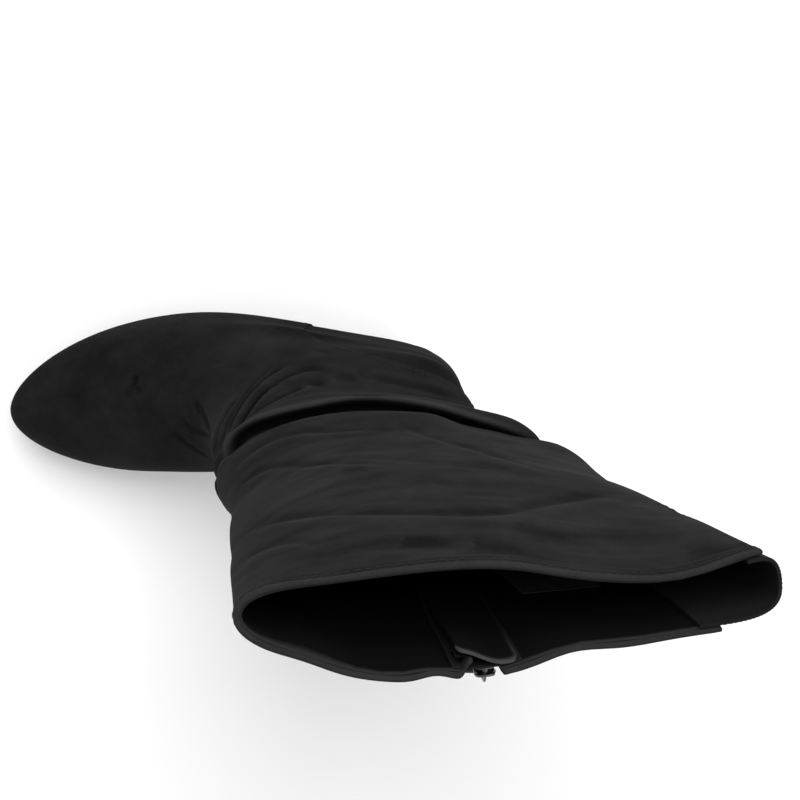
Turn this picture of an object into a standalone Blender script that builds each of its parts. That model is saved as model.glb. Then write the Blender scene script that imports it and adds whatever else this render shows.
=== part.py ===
"""Slouch boot for the right foot: a soft knee boot in black suede on a covered block heel.

Metres, +Z up, +X to the toe and +Y to the inner side of the leg. The origin is on the floor, under the
middle of the heel's top lift. The boot stands empty, with its shaft slack and pressed flat.

The upper is one wall, drawn through closed sections. Each section runs round the boot from its back
point to its front point, and a row of a table holds its places and widths as shares of the named sizes.
Two numbers place a point on the wall. The turn is an angle round the section: 0 at the back line, half a
circle at the front line, negative on the outer side and positive on the inner side. The rise goes from 0
at the sole to 1 at the collar.
"""

import math
from collections import namedtuple

import bmesh
import bpy
import numpy as np
from mathutils import Matrix, Vector

# Driving sizes of the foot
FOOT_LENGTH = 0.247
BALL_WIDTH = 0.091
HEEL_HEIGHT = 0.068
TOE_SPRING = 0.009
INSTEP_RISE = 0.0865
HEEL_CUP_RISE = 0.053

# Driving sizes of the shaft
BOOT_HEIGHT = 0.345
ANKLE_HEIGHT = 0.130
SHAFT_DEPTH = 0.182
SHAFT_FLATNESS = 0.060

# Walls and clearances
WALL = 0.0022
HEEL_STIFFENING = 0.0010
GAP = 0.0003
SOLE_THICKNESS = 0.0040
SOLE_MARGIN = 0.0008
SEAT_GAP = 0.0004

# Heel
HEEL_LENGTH = 0.056
HEEL_FOOT_LENGTH = 0.046
HEEL_FOOT_WIDTH = 0.050
HEEL_INSET = 0.0012
TOP_LIFT_THICKNESS = 0.0050

# Insole
INSOLE_THICKNESS = 0.0035
INSOLE_CLEARANCE = 0.0006

# Heel counter, set into a step of the wall
COUNTER_THICKNESS = 0.0009
COUNTER_STEP = 0.0009
COUNTER_HEIGHT = 0.0625
COUNTER_OUTER_TURN = 1.15
COUNTER_OUTER_LEAN = 0.36
COUNTER_INNER_TURN = 1.224
COUNTER_OUTER_CORNER = 0.27
COUNTER_INNER_CORNER = 0.45
CORNER_FADE = 1.0

# Elastic gore at the back of the collar
GORE_HEIGHT = 0.078
GORE_THICKNESS = 0.0012
GORE_OUTER_TURN = 0.487
GORE_INNER_TURN = 0.737
GORE_SEAM = 0.005
GORE_SEAM_TURN = 0.12

# Zip on the inner side
ZIP_SLOT = 0.0095
ZIP_FOOT_RISE = 0.040
ZIP_FOOT_SHARE = 0.33
ZIP_FOOT_TURN = 1.37
COIL_WIDTH = 0.0062
COIL_THICKNESS = 0.0014
COIL_ABOVE_SLOT = 0.0010
COIL_FREE_END = 0.0005
TAPE_WIDTH = 0.024
TAPE_THICKNESS = 0.0007
TAPE_BELOW_RIM = 0.0015
TAPE_BELOW_SLOT = 0.0080
GUARD_WIDTH = 0.021
GUARD_THICKNESS = 0.0012
GUARD_BELOW_RIM = 0.0005
SLIDER_WIDTH = 0.0078
SLIDER_LENGTH = 0.0105
SLIDER_PLATE = 0.0011
SLIDER_BODY_WIDTH = 0.0035
SLIDER_BODY_LENGTH = 0.0084
UNDER_PLATE = 0.0008
BRIDGE_WIDTH = 0.0022
BRIDGE_LENGTH = 0.0060
BRIDGE_BAR = 0.0010
PULL_ARM = 0.0011
SLIDER_BELOW_RIM = 0.0035
PULL_PIN_RADIUS = 0.00065
PULL_LENGTH = 0.0240
PULL_WIDTH = 0.0068
PULL_THICKNESS = 0.0013

# The origin lies under the middle of the top lift, this far in front of the heel's back
ORIGIN_FROM_BACK = 0.030

Section = namedtuple(
    "Section", "name back front back_rise front_rise centre_back centre_front follow zip outer inner"
)

# Shares of the section's length at which the two lists of half widths hold
WIDTH_STATIONS = (0.05, 0.20, 0.50, 0.80, 0.95)

# Foot sections. back and front are shares of FOOT_LENGTH, back_rise of HEEL_CUP_RISE and front_rise of
# INSTEP_RISE; centres and half widths are shares of BALL_WIDTH; follow is how much the sole's curve shows.
FOOT_SECTIONS = (
    Section("feather", 0.022, 0.994, 0.00, 0.00, -0.033, 0.088, 1.00, 0.380,
            (0.214, 0.330, 0.450, 0.422, 0.214), (0.220, 0.284, 0.302, 0.387, 0.215)),
    Section("wall", 0.012, 1.004, 0.23, 0.11, -0.033, 0.088, 0.90, 0.380,
            (0.258, 0.398, 0.535, 0.442, 0.220), (0.247, 0.327, 0.423, 0.402, 0.218)),
    Section("shoulder", 0.011, 0.990, 0.40, 0.225, -0.033, 0.088, 0.72, 0.385,
            (0.264, 0.392, 0.511, 0.407, 0.170), (0.253, 0.322, 0.412, 0.381, 0.187)),
    Section("toe top", 0.014, 0.936, 0.55, 0.335, -0.033, 0.082, 0.55, 0.390,
            (0.253, 0.374, 0.489, 0.363, 0.159), (0.247, 0.313, 0.407, 0.352, 0.170)),
    Section("vamp", 0.019, 0.820, 0.70, 0.457, -0.033, 0.066, 0.40, 0.395,
            (0.242, 0.352, 0.451, 0.363, 0.187), (0.231, 0.297, 0.385, 0.352, 0.187)),
    Section("instep", 0.026, 0.680, 0.83, 0.653, -0.022, 0.049, 0.25, 0.405,
            (0.231, 0.335, 0.407, 0.363, 0.203), (0.220, 0.291, 0.374, 0.352, 0.203)),
    Section("throat", 0.026, 0.572, 1.00, 1.00, 0.000, 0.044, 0.10, 0.420,
            (0.220, 0.313, 0.357, 0.319, 0.198), (0.220, 0.302, 0.352, 0.330, 0.198)),
)

# Shaft sections. back and front are shares of SHAFT_DEPTH from the ankle's middle, the rises are shares
# of the height from ANKLE_HEIGHT to BOOT_HEIGHT, and widths are shares of SHAFT_FLATNESS.
ANKLE_MIDDLE = 0.20
SHAFT_SECTIONS = (
    Section("ankle", -0.265, 0.460, 0.055, 0.008, 0.100, 0.233, 0.0, 0.430,
            (0.190, 0.320, 0.430, 0.385, 0.170), (0.190, 0.330, 0.430, 0.343, 0.167)),
    Section("slouch", -0.400, 0.435, 0.195, 0.140, 0.240, 0.367, 0.0, 0.475,
            (0.120, 0.265, 0.400, 0.360, 0.180), (0.160, 0.340, 0.450, 0.360, 0.190)),
    Section("low calf", -0.500, 0.423, 0.442, 0.442, 0.340, 0.500, 0.0, 0.512,
            (0.115, 0.270, 0.430, 0.400, 0.190), (0.142, 0.300, 0.367, 0.300, 0.175)),
    Section("high calf", -0.582, 0.423, 0.721, 0.740, 0.417, 0.517, 0.0, 0.552,
            (0.138, 0.220, 0.350, 0.347, 0.178), (0.162, 0.263, 0.350, 0.303, 0.155)),
    Section("collar", -0.597, 0.418, 0.985, 1.010, 0.483, 0.475, 0.0, 0.561,
            (0.233, 0.117, 0.212, 0.200, 0.150), (0.183, 0.245, 0.388, 0.362, 0.185)),
)

# Folds of the slack shaft. Heights are shares of BOOT_HEIGHT and depths of SLOUCH_DEPTH, each at the back,
# the outer side, the front and the inner side. half_width and roll_width are shares of SLOUCH_DEPTH too.
SLOUCH_DEPTH = 0.0100
Fold = namedtuple("Fold", "name heights depths half_width roll roll_width droop")
FOLDS = (
    Fold("slouch", (0.500, 0.478, 0.462, 0.478), (0.65, 1.00, 0.95, 0.40), 0.50, 0.50, 1.30, 0.30),
    Fold("ankle", (0.425, 0.400, 0.412, 0.405), (0.20, 0.25, 0.50, 0.15), 0.75, 0.30, 1.10, 0.00),
    Fold("calf", (0.640, 0.655, 0.610, 0.640), (0.12, 0.16, 0.20, 0.08), 1.30, 0.40, 1.60, 0.00),
    Fold("high calf", (0.790, 0.800, 0.770, 0.790), (0.10, 0.12, 0.16, 0.08), 1.50, 0.40, 1.70, 0.00),
)

# Places along the sole's two sides that lie closer than this become one
STATION_MERGE = 0.0006

# Points along a line that is only measured
OUTLINE_POINTS = 400

# Where rises are measured on the shaft: a turn on its side, and the length below the collar
SIDE_TURN = 1.2
COLLAR_SPAN = 0.050

# Part of the shaft's height with closely spaced lines of points, for the main fold
FOLD_FROM = 0.40
FOLD_TO = 0.56

# Small steps of turn and rise over which slopes are measured
TURN_STEP = 1e-4
RISE_STEP = 1e-4
SLIDER_REACH = 0.004


def spline(knots, values, query):
    """Natural cubic through values at knots, read at query. values may have columns."""
    knots = np.asarray(knots, float)
    values = np.asarray(values, float)
    query = np.asarray(query, float)
    count = len(knots)
    step = np.diff(knots)
    shape = (-1,) + (1,) * (values.ndim - 1)
    slope = np.diff(values, axis=0) / step.reshape(shape)
    matrix = np.eye(count)
    right = np.zeros_like(values)
    for i in range(1, count - 1):
        matrix[i, i - 1 : i + 2] = step[i - 1], 2 * (step[i - 1] + step[i]), step[i]
        right[i] = 6 * (slope[i] - slope[i - 1])
    bend = np.linalg.solve(matrix, right.reshape(count, -1)).reshape(values.shape)
    at = np.clip(np.searchsorted(knots, query) - 1, 0, count - 2)
    along = (query - knots[at]).reshape(query.shape + (1,) * (values.ndim - 1))
    width = step[at].reshape(along.shape)
    return (
        values[at]
        + along * (slope[at] - width * (2 * bend[at] + bend[at + 1]) / 6)
        + along**2 * bend[at] / 2
        + along**3 * (bend[at + 1] - bend[at]) / (6 * width)
    )


def smooth(value, low, high):
    """0 below low and 1 above high, with a smooth S between."""
    t = np.clip((value - low) / (high - low), 0, 1)
    return t**3 * (10 - 15 * t + 6 * t * t)


# The sole's underside, as shares of FOOT_LENGTH from the heel's back
SEAT_END = 0.20
TREAD_START = 0.665
TREAD_END = 0.785
SEAT_SLOPE = 0.10
SPRING_POWER = 1.9


def sole_underside(x):
    """Height of the outsole's underside x in front of the heel's back."""
    share = np.asarray(x, float) / FOOT_LENGTH
    seat = 1 - SEAT_SLOPE * np.clip(share / SEAT_END, 0, 1.5)
    arch = HEEL_HEIGHT * seat * (1 - smooth(share, SEAT_END, TREAD_START))
    past = np.clip((share - TREAD_END) / (1 - TREAD_END), 0, 1.2)
    return arch + TOE_SPRING * past**SPRING_POWER


def feather_height(x):
    """Height of the upper's lower edge, just above the outsole."""
    return sole_underside(x) + SOLE_THICKNESS + SEAT_GAP


def section_rows():
    """One row of sizes for each section: places, centres, follow, then half widths of the two sides."""
    rows = []
    for section in FOOT_SECTIONS:
        back = section.back * FOOT_LENGTH
        front = section.front * FOOT_LENGTH
        back_height = feather_height(FOOT_SECTIONS[0].back * FOOT_LENGTH) + section.back_rise * HEEL_CUP_RISE
        toe_height = feather_height(FOOT_SECTIONS[0].front * FOOT_LENGTH)
        front_height = toe_height + section.front_rise * INSTEP_RISE
        places = [back, front, back_height, front_height]
        centres = [section.centre_back * BALL_WIDTH, section.centre_front * BALL_WIDTH]
        widths = [w * BALL_WIDTH for w in section.outer + section.inner]
        rows.append(places + centres + [section.follow, section.zip] + widths)
    leg = BOOT_HEIGHT - ANKLE_HEIGHT
    middle = ANKLE_MIDDLE * FOOT_LENGTH
    for section in SHAFT_SECTIONS:
        places = [
            middle + section.back * SHAFT_DEPTH,
            middle + section.front * SHAFT_DEPTH,
            ANKLE_HEIGHT + section.back_rise * leg,
            ANKLE_HEIGHT + section.front_rise * leg,
        ]
        centres = [section.centre_back * SHAFT_FLATNESS, section.centre_front * SHAFT_FLATNESS]
        widths = [w * SHAFT_FLATNESS for w in section.outer + section.inner]
        rows.append(places + centres + [section.follow, section.zip] + widths)
    return np.array(rows)


# Columns of a row of sizes
BACK_X, FRONT_X, BACK_Z, FRONT_Z, BACK_Y, FRONT_Y, FOLLOW, ZIP_SHARE, OUTER = range(9)
OUTER_WIDTHS = slice(OUTER, OUTER + len(WIDTH_STATIONS))
INNER_WIDTHS = slice(OUTER_WIDTHS.stop, OUTER_WIDTHS.stop + len(WIDTH_STATIONS))
ROWS = section_rows()


def section_rises():
    """The rise of each section, by the way from one to the next along back, front and both sides."""
    middle = (ROWS[:, [BACK_X, FRONT_X]].mean(1), ROWS[:, [BACK_Z, FRONT_Z]].mean(1))
    sides = [ROWS[:, widths].max(1) for widths in (OUTER_WIDTHS, INNER_WIDTHS)]
    lines = [ROWS[:, [BACK_X, BACK_Z]], ROWS[:, [FRONT_X, FRONT_Z]]]
    lines += [np.stack([*middle, side], 1) for side in sides]
    way = sum(np.linalg.norm(np.diff(line, axis=0), axis=1) for line in lines)
    return np.concatenate([[0], np.cumsum(way)]) / way.sum()


RISES = section_rises()
STATION_TURNS = np.arccos(1 - 2 * np.array(WIDTH_STATIONS))


def chord_sag(share):
    """How far the feather line lies above or below the straight line between its two ends."""
    back, front = ROWS[0, BACK_X], ROWS[0, FRONT_X]
    ends = feather_height(np.array([back, front]))
    line = ends[0] + share * (ends[1] - ends[0])
    return feather_height(back + share * (front - back)) - line


def plain_wall(turn, rise):
    """Points of the wall's outer face before the folds, as an array with x, y and z last."""
    turn, rise = np.broadcast_arrays(np.asarray(turn, float), np.asarray(rise, float))
    row = spline(RISES, ROWS, rise)
    angle = np.abs(turn)
    share = (1 - np.cos(angle)) / 2
    x = row[..., BACK_X] + share * (row[..., FRONT_X] - row[..., BACK_X])
    height = row[..., BACK_Z] + share * (row[..., FRONT_Z] - row[..., BACK_Z])
    height = height + row[..., FOLLOW] * chord_sag(share)
    centre = row[..., BACK_Y] + share * (row[..., FRONT_Y] - row[..., BACK_Y])
    weights = spline(STATION_TURNS, np.eye(len(STATION_TURNS)), angle)
    fullness = 1 / np.sin(STATION_TURNS)
    outer = (row[..., OUTER_WIDTHS] * fullness * weights).sum(-1)
    inner = (row[..., INNER_WIDTHS] * fullness * weights).sum(-1)
    half = np.where(turn < 0, outer, inner)
    y = centre + np.sin(turn) * half
    return np.stack([x, y, height], -1)


def round_the_leg(values, turn):
    """A smooth value round the leg from its values at the back, outer side, front and inner side."""
    back, outer, front, inner = values
    mean = (back + outer + front + inner) / 4
    swing = (back - front) / 2 * np.cos(turn) - (outer - inner) / 2 * np.sin(turn)
    return mean + swing + (back - outer + front - inner) / 4 * np.cos(2 * turn)


def wall(turn, rise):
    """Points of the wall's outer face, folds included."""
    turn, rise = np.broadcast_arrays(np.asarray(turn, float), np.asarray(rise, float))
    point = plain_wall(turn, rise)
    ahead = plain_wall(turn + TURN_STEP, rise) - plain_wall(turn - TURN_STEP, rise)
    outwards = np.stack([-ahead[..., 1], ahead[..., 0]], -1)
    outwards /= np.maximum(np.linalg.norm(outwards, axis=-1, keepdims=True), 1e-12)
    height = point[..., 2]
    push = np.zeros_like(height)
    drop = np.zeros_like(height)
    for fold in FOLDS:
        depth = SLOUCH_DEPTH * np.maximum(round_the_leg(fold.depths, turn), 0)
        middle = BOOT_HEIGHT * round_the_leg(fold.heights, turn)
        width = SLOUCH_DEPTH * fold.half_width
        roll = SLOUCH_DEPTH * fold.roll_width
        away = height - middle
        push -= depth * np.exp(-((away / width) ** 2))
        push += depth * fold.roll * np.exp(-(((np.abs(away) - roll) / roll) ** 2))
        drop += depth * fold.droop * np.exp(-(((away - roll / 2) / roll) ** 2))
    point[..., 0] += push * outwards[..., 0]
    point[..., 1] += push * outwards[..., 1]
    point[..., 2] -= drop
    return point


def outward(turn, rise):
    """Unit normals of the wall's outer face. Along the lower edge they are level."""
    turn, rise = np.broadcast_arrays(np.asarray(turn, float), np.asarray(rise, float))
    around = wall(turn + TURN_STEP, rise) - wall(turn - TURN_STEP, rise)
    low = np.maximum(rise - RISE_STEP, 0)
    high = np.minimum(rise + RISE_STEP, 1)
    normal = np.cross(wall(turn, high) - wall(turn, low), around)
    normal[..., 2] *= smooth(rise, 0, RISES[1] / 2)
    return normal / np.linalg.norm(normal, axis=-1, keepdims=True)


def rise_at(turn, height):
    """The rise at which the wall reaches a height, at one turn."""
    rises = np.linspace(RISES[1], 1, OUTLINE_POINTS)
    return float(np.interp(height, plain_wall(turn, rises)[:, 2], rises))


def in_steps(*stops):
    """Values from (first, cells, second, cells, third ...), evenly spaced between each two."""
    values = [stops[0]]
    for cells, end in zip(stops[1::2], stops[2::2]):
        values += list(np.linspace(values[-1], end, cells + 1)[1:])
    return np.array(values)


def own_frame(point):
    """A point in the boot's own frame: x starts at the origin and not at the heel's back."""
    moved = np.array(point, float)
    moved[..., 0] -= ORIGIN_FROM_BACK
    return moved


def finish_object(name, points, faces, material, smooth_angle=40):
    """A mesh object from points and faces, with a material and smooth shading below an angle."""
    used, index = np.unique(np.concatenate([np.ravel(f) for f in faces]), return_inverse=True)
    corners, start = [], 0
    for face in faces:
        corners.append([int(i) for i in index[start : start + len(face)]])
        start += len(face)
    mesh = bpy.data.meshes.new(name)
    mesh.from_pydata(own_frame(points)[used].tolist(), [], corners)
    mesh.validate()
    mesh.shade_smooth()
    mesh.set_sharp_from_angle(angle=math.radians(smooth_angle))
    mesh.materials.append(material)
    item = bpy.data.objects.new(name, mesh)
    bpy.context.scene.collection.objects.link(item)
    return item


def shell_faces(across, along, keep, wrap):
    """Faces of a wall between an outer and an inner sheet of points, closed along every free edge.

    Points are numbered along first; the inner sheet's numbers follow the outer one's. keep says which
    cells are there. wrap joins the last line of points to the first."""
    sheet = across * along
    number = np.arange(sheet).reshape(across, along)
    cells = across if wrap else across - 1
    faces, edges = [], {}
    for i in range(cells):
        for j in range(along - 1):
            if not keep[i, j]:
                continue
            k = (i + 1) % across
            quad = [number[i, j], number[i, j + 1], number[k, j + 1], number[k, j]]
            faces.append(quad)
            faces.append([quad[n] + sheet for n in (0, 3, 2, 1)])
            for a, b in zip(quad, quad[1:] + quad[:1]):
                if (b, a) in edges:
                    del edges[(b, a)]
                else:
                    edges[(a, b)] = True
    for a, b in edges:
        faces.append([b, a, a + sheet, b + sheet])
    return faces


def on_lines(turns, rises):
    """Turns and rises of a grid of points on the upper's lines. turns may hold one line or one value each."""
    turn = np.asarray(turns, float)
    if turn.ndim == 1:
        turn = np.repeat(turn[:, None], len(rises), 1)
    return turn, bent_rise(turn, np.broadcast_to(rises, turn.shape))


def patch(name, grid, outer_offset, inner_offset, material):
    """A closed piece that follows the wall between two offsets from its outer face, positive outwards."""
    turn, rise = grid
    face = wall(turn, rise)
    normal = outward(turn, rise)
    points = np.concatenate([face + outer_offset * normal, face + inner_offset * normal])
    keep = np.ones((turn.shape[0] - 1, turn.shape[1] - 1), bool)
    return finish_object(
        name, points.reshape(-1, 3), shell_faces(*turn.shape, keep, False), material
    )


def new_material(name, colour, roughness, metallic=0.0):
    """A plain finish in one colour."""
    material = bpy.data.materials.new(name)
    material.use_nodes = True
    shader = material.node_tree.nodes["Principled BSDF"]
    shader.inputs["Base Color"].default_value = (*colour, 1)
    shader.inputs["Roughness"].default_value = roughness
    shader.inputs["Metallic"].default_value = metallic
    return material


def zip_turn(rise):
    """The turn of the zip's middle line."""
    return np.arccos(1 - 2 * spline(RISES, ROWS[:, ZIP_SHARE], rise))


def turn_of(width, turn, rise):
    """How much turn a width takes along the wall at one place."""
    way = wall(turn + TURN_STEP, rise) - wall(turn - TURN_STEP, rise)
    return width * 2 * TURN_STEP / np.linalg.norm(way, axis=-1)


def turn_across(width, turn, rise):
    """How much turn moves each point of a slanted line by a width square to the line."""
    line = np.gradient(wall(turn, rise), axis=0)
    way = wall(turn + TURN_STEP, rise) - wall(turn - TURN_STEP, rise)
    area = np.linalg.norm(np.cross(way, line), axis=-1)
    return width * 2 * TURN_STEP * np.linalg.norm(line, axis=-1) / area


def zip_turns(widths, rises):
    """Turns of lines along the zip, each half its width from the middle, forward where positive."""
    middle = zip_turn(rises)
    metre = turn_of(1.0, middle, rises)
    return np.array([middle + width / 2 * metre for width in widths])


# Rise taken by a metre near the collar, for pieces that end a real length below it
RISE_PER_METRE = (1 - rise_at(SIDE_TURN, BOOT_HEIGHT - COLLAR_SPAN)) / COLLAR_SPAN
COUNTER_RISE = rise_at(0.0, feather_height(ROWS[0, BACK_X]) + COUNTER_HEIGHT)
GORE_RISE = rise_at(0.0, BOOT_HEIGHT - GORE_HEIGHT)
ZIP_RISE = rise_at(ZIP_FOOT_TURN, feather_height(ZIP_FOOT_SHARE * FOOT_LENGTH) + ZIP_FOOT_RISE)
FOLD_START = rise_at(SIDE_TURN, FOLD_FROM * BOOT_HEIGHT)
FOLD_END = rise_at(SIDE_TURN, FOLD_TO * BOOT_HEIGHT)

# Lines of the upper's mesh. A step in the wall lies between two lines this share apart.
STEP_RISE = 0.0008
STEP_TURN = 0.004

# Rows of cells up the counter, and columns from its two front edges to the gore's seams
COUNTER_ROWS = 16
OUTER_COLUMNS = 5
INNER_COLUMNS = 3


def upper_rises():
    """The rises of the upper's lines of points."""
    return in_steps(
        0.0, COUNTER_ROWS, COUNTER_RISE - STEP_RISE, 1, COUNTER_RISE, 4, FOLD_START, 14, FOLD_END,
        6, GORE_RISE, 7, 1.0
    )


def outer_edge(rise):
    """The turn of the counter's outer front edge, which leans forward from the sole up."""
    return COUNTER_OUTER_TURN + COUNTER_OUTER_LEAN * np.clip(rise / COUNTER_RISE, 0, 1)


def bent_rise(turn, rise):
    """The rise of a point on one of the mesh's lines. The lines dip to the counter's front corners."""
    edge = np.where(turn < 0, outer_edge(rise), COUNTER_INNER_TURN)
    corner = np.where(turn < 0, COUNTER_OUTER_CORNER, COUNTER_INNER_CORNER)
    share = np.minimum(np.abs(turn) / edge, 1)
    past = smooth(np.abs(turn) - edge, 0, CORNER_FADE)
    dip = corner * (1 - np.sqrt(1 - share**2)) * (1 - past)
    below = rise / COUNTER_RISE
    above = (FOLD_START - rise) / (FOLD_START - COUNTER_RISE)
    return rise - COUNTER_RISE * dip * np.clip(np.minimum(below, above), 0, 1)


def back_turns(rises):
    """Turns of the lines round the back at each rise, from the counter's outer front edge to its inner one."""
    outer_seam = -GORE_OUTER_TURN - GORE_SEAM_TURN
    inner_seam = GORE_INNER_TURN + GORE_SEAM_TURN
    gore = in_steps(-GORE_OUTER_TURN, 2, 0.0, 2, GORE_INNER_TURN)
    inner = in_steps(inner_seam, INNER_COLUMNS, COUNTER_INNER_TURN)
    shares = np.linspace(0, 1, OUTER_COLUMNS + 1)[:, None]
    outer = -outer_edge(rises) * (1 - shares) + outer_seam * shares
    level = np.concatenate([gore, inner])
    return np.concatenate([outer, np.repeat(level[:, None], len(rises), 1)])


def upper_turns(rises):
    """The turns of the upper's lines of points at each rise: outer side, back and inner side."""
    shares = np.linspace(0, 1, 11)[:, None]
    outer = -math.pi * (1 - shares) - (outer_edge(rises) + STEP_TURN) * shares
    lines = [*outer, *back_turns(rises), np.full(len(rises), COUNTER_INNER_TURN + STEP_TURN)]
    lines += list(zip_turns((-TAPE_WIDTH, -ZIP_SLOT, ZIP_SLOT, TAPE_WIDTH), rises))
    tape_edge = lines[-1]
    for share in np.linspace(0, 1, 8)[1:-1]:
        lines.append(tape_edge + share * (math.pi - tape_edge))
    return np.array(lines)


def build_upper(material):
    """Vamp and shaft in one wall, cut out for the zip and the gore, with a step round the heel."""
    rises = upper_rises()
    turn, rise = on_lines(upper_turns(rises), rises)
    behind = (turn > -outer_edge(rises) - STEP_TURN / 2) & (turn < COUNTER_INNER_TURN + STEP_TURN / 2)
    counter = behind & (rises < COUNTER_RISE - STEP_RISE / 2)
    face = wall(turn, rise)
    normal = outward(turn, rise)
    recess = COUNTER_STEP + COUNTER_THICKNESS + GAP
    outer = face - np.where(counter, recess, 0)[..., None] * normal
    inner = face - np.where(counter, WALL + HEEL_STIFFENING, WALL)[..., None] * normal
    points = np.concatenate([outer, inner]).reshape(-1, 3)
    keep = np.ones((turn.shape[0], turn.shape[1] - 1), bool)
    middle = (rises[1:] + rises[:-1]) / 2
    back_line = int(np.argmin(np.abs(turn[:, -1])))
    keep[back_line - 2 : back_line + 2, middle > GORE_RISE] = False
    slot = int(np.argmin(np.abs(turn[:, -1] - zip_turns([-ZIP_SLOT], 1.0)[0])))
    keep[slot, middle > ZIP_RISE_LINE] = False
    return finish_object("upper", points, shell_faces(*turn.shape, keep, True), material)


# The slot ends on the line of the mesh nearest to the zip's foot
ZIP_LINES = bent_rise(zip_turn(ZIP_RISE), upper_rises())
ZIP_RISE_LINE = float(upper_rises()[np.argmin(np.abs(ZIP_LINES - ZIP_RISE))])


def build_counter(material):
    """The heel counter, in the step of the wall and a little below the shaft's face."""
    rises = in_steps(0.0, COUNTER_ROWS, COUNTER_RISE - STEP_RISE)
    rises[0] += STEP_RISE
    rises[-1] -= 2 * STEP_RISE
    turn, rise = on_lines(back_turns(rises), rises)
    turn[0] += turn_across(GAP, turn[0], rise[0])
    turn[-1] -= turn_across(GAP, turn[-1], rise[-1])
    return patch("counter", (turn, rise), -COUNTER_STEP, -COUNTER_STEP - COUNTER_THICKNESS, material)


def build_gore(material):
    """The elastic gore, sewn behind the edges of its cut-out."""
    rises = upper_rises()
    rises = rises[rises > GORE_RISE - RISE_PER_METRE * 2 * GORE_SEAM]
    turns = back_turns(rises)[OUTER_COLUMNS:-INNER_COLUMNS]
    outer = -WALL - GAP
    return patch("back_gore", on_lines(turns, rises), outer, outer - GORE_THICKNESS, material)


def zip_rises(low, high):
    """Rises along the zip, on the lines of the upper between two ends of its own."""
    rises = upper_rises()
    inside = rises[(rises > low + STEP_RISE) & (rises < high - STEP_RISE)]
    return np.concatenate([[low], inside, [high]])


def build_zip(tape_material, coil_material, guard_material):
    """The zip's tape behind the wall, its coil in the slot, and the guard flap behind both."""
    tape_face = -WALL - GAP
    guard_face = tape_face - TAPE_THICKNESS - GAP
    end = 1 - RISE_PER_METRE * TAPE_BELOW_RIM
    low = ZIP_RISE_LINE - RISE_PER_METRE * TAPE_BELOW_SLOT
    tape_rises = zip_rises(low, end)
    tape_lines = (-TAPE_WIDTH, -ZIP_SLOT, ZIP_SLOT, TAPE_WIDTH)
    patch("zip_tape", on_lines(zip_turns(tape_lines, tape_rises), tape_rises),
          tape_face, tape_face - TAPE_THICKNESS, tape_material)
    top = 1 - RISE_PER_METRE * (SLIDER_BELOW_RIM + SLIDER_LENGTH + COIL_FREE_END)
    coil_rises = zip_rises(ZIP_RISE_LINE + RISE_PER_METRE * COIL_ABOVE_SLOT, top)
    coil_face = tape_face + GAP + COIL_THICKNESS
    patch("zip_coil", on_lines(zip_turns((-COIL_WIDTH, COIL_WIDTH), coil_rises), coil_rises),
          coil_face, tape_face + GAP, coil_material)
    guard_rises = zip_rises(low, 1 - RISE_PER_METRE * GUARD_BELOW_RIM)
    guard_lines = (-GUARD_WIDTH, -ZIP_SLOT, ZIP_SLOT, GUARD_WIDTH)
    patch("zip_guard", on_lines(zip_turns(guard_lines, guard_rises), guard_rises),
          guard_face, guard_face - GUARD_THICKNESS, guard_material)


def outline(turns_outer, turns_inner, margin, places=None):
    """The feather line's outer and inner side, moved outwards by a margin, at shared places along X.

    Without places given, the two sides share all of their own."""
    sides = []
    for turns in (-np.asarray(turns_outer), np.asarray(turns_inner)):
        line = wall(turns, 0.0)
        line[:, :2] += margin * outward(turns, 0.0)[:, :2]
        sides.append(line)
    first, last = sides[0][0, 0], sides[0][-1, 0]
    if places is None:
        places = np.sort(np.concatenate([side[:, 0] for side in sides]))
        places = places[np.append(True, np.diff(places) > STATION_MERGE)]
    inside = places[(places > first + STATION_MERGE) & (places < last - STATION_MERGE)]
    places = np.concatenate([[first], inside, [last]])
    shared = []
    for side in sides:
        columns = [np.interp(places, side[:, 0], side[:, n]) for n in (1, 2)]
        shared.append(np.column_stack([places, *columns]))
    return shared


def slab(name, sides, bottoms, tops, material):
    """A closed piece between two heights, from the lines of its outer and inner side.

    sides run from the back point to the front point; bottoms and tops are heights for each side."""
    points, faces = [], []
    count = len(sides[0])
    for heights in (tops, bottoms):
        for line, height in zip(sides, heights):
            layer = line.copy()
            layer[:, 2] = height
            points.append(layer)
    points = np.concatenate(points)
    outer_top, inner_top, outer_low, inner_low = (np.arange(count) + n * count for n in range(4))
    for i in range(count - 1):
        faces.append([outer_top[i], outer_top[i + 1], inner_top[i + 1], inner_top[i]])
        faces.append([inner_low[i], inner_low[i + 1], outer_low[i + 1], outer_low[i]])
        faces.append([outer_low[i], outer_low[i + 1], outer_top[i + 1], outer_top[i]])
        faces.append([inner_top[i], inner_top[i + 1], inner_low[i + 1], inner_low[i]])
    # The two sides share their back point and their front point
    same = np.arange(len(points))
    same[inner_top[0]], same[inner_top[-1]] = outer_top[0], outer_top[-1]
    same[inner_low[0]], same[inner_low[-1]] = outer_low[0], outer_low[-1]
    tidy = []
    for face in faces:
        corners = list(dict.fromkeys(int(same[i]) for i in face))
        if len(corners) > 2:
            tidy.append(corners)
    return finish_object(name, points, tidy, material)


def side_turns():
    """Turns of the lower edge's points on each side, as the upper has them, back to front."""
    turn = upper_turns(upper_rises())[:, 0]
    back_line = int(np.argmin(np.abs(turn)))
    outer = -turn[: back_line + 1][::-1]
    inner = np.append(turn[back_line:], math.pi)
    return outer, inner


def sole_sides():
    """The outsole's two sides, as lines under the upper's lower edge."""
    return outline(*side_turns(), SOLE_MARGIN)


def sole_line(x):
    """Heights of the sole's two sides at places along X, before the gap under the upper."""
    return np.array([np.interp(x, side[:, 0], side[:, 2]) for side in sole_sides()])


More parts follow.
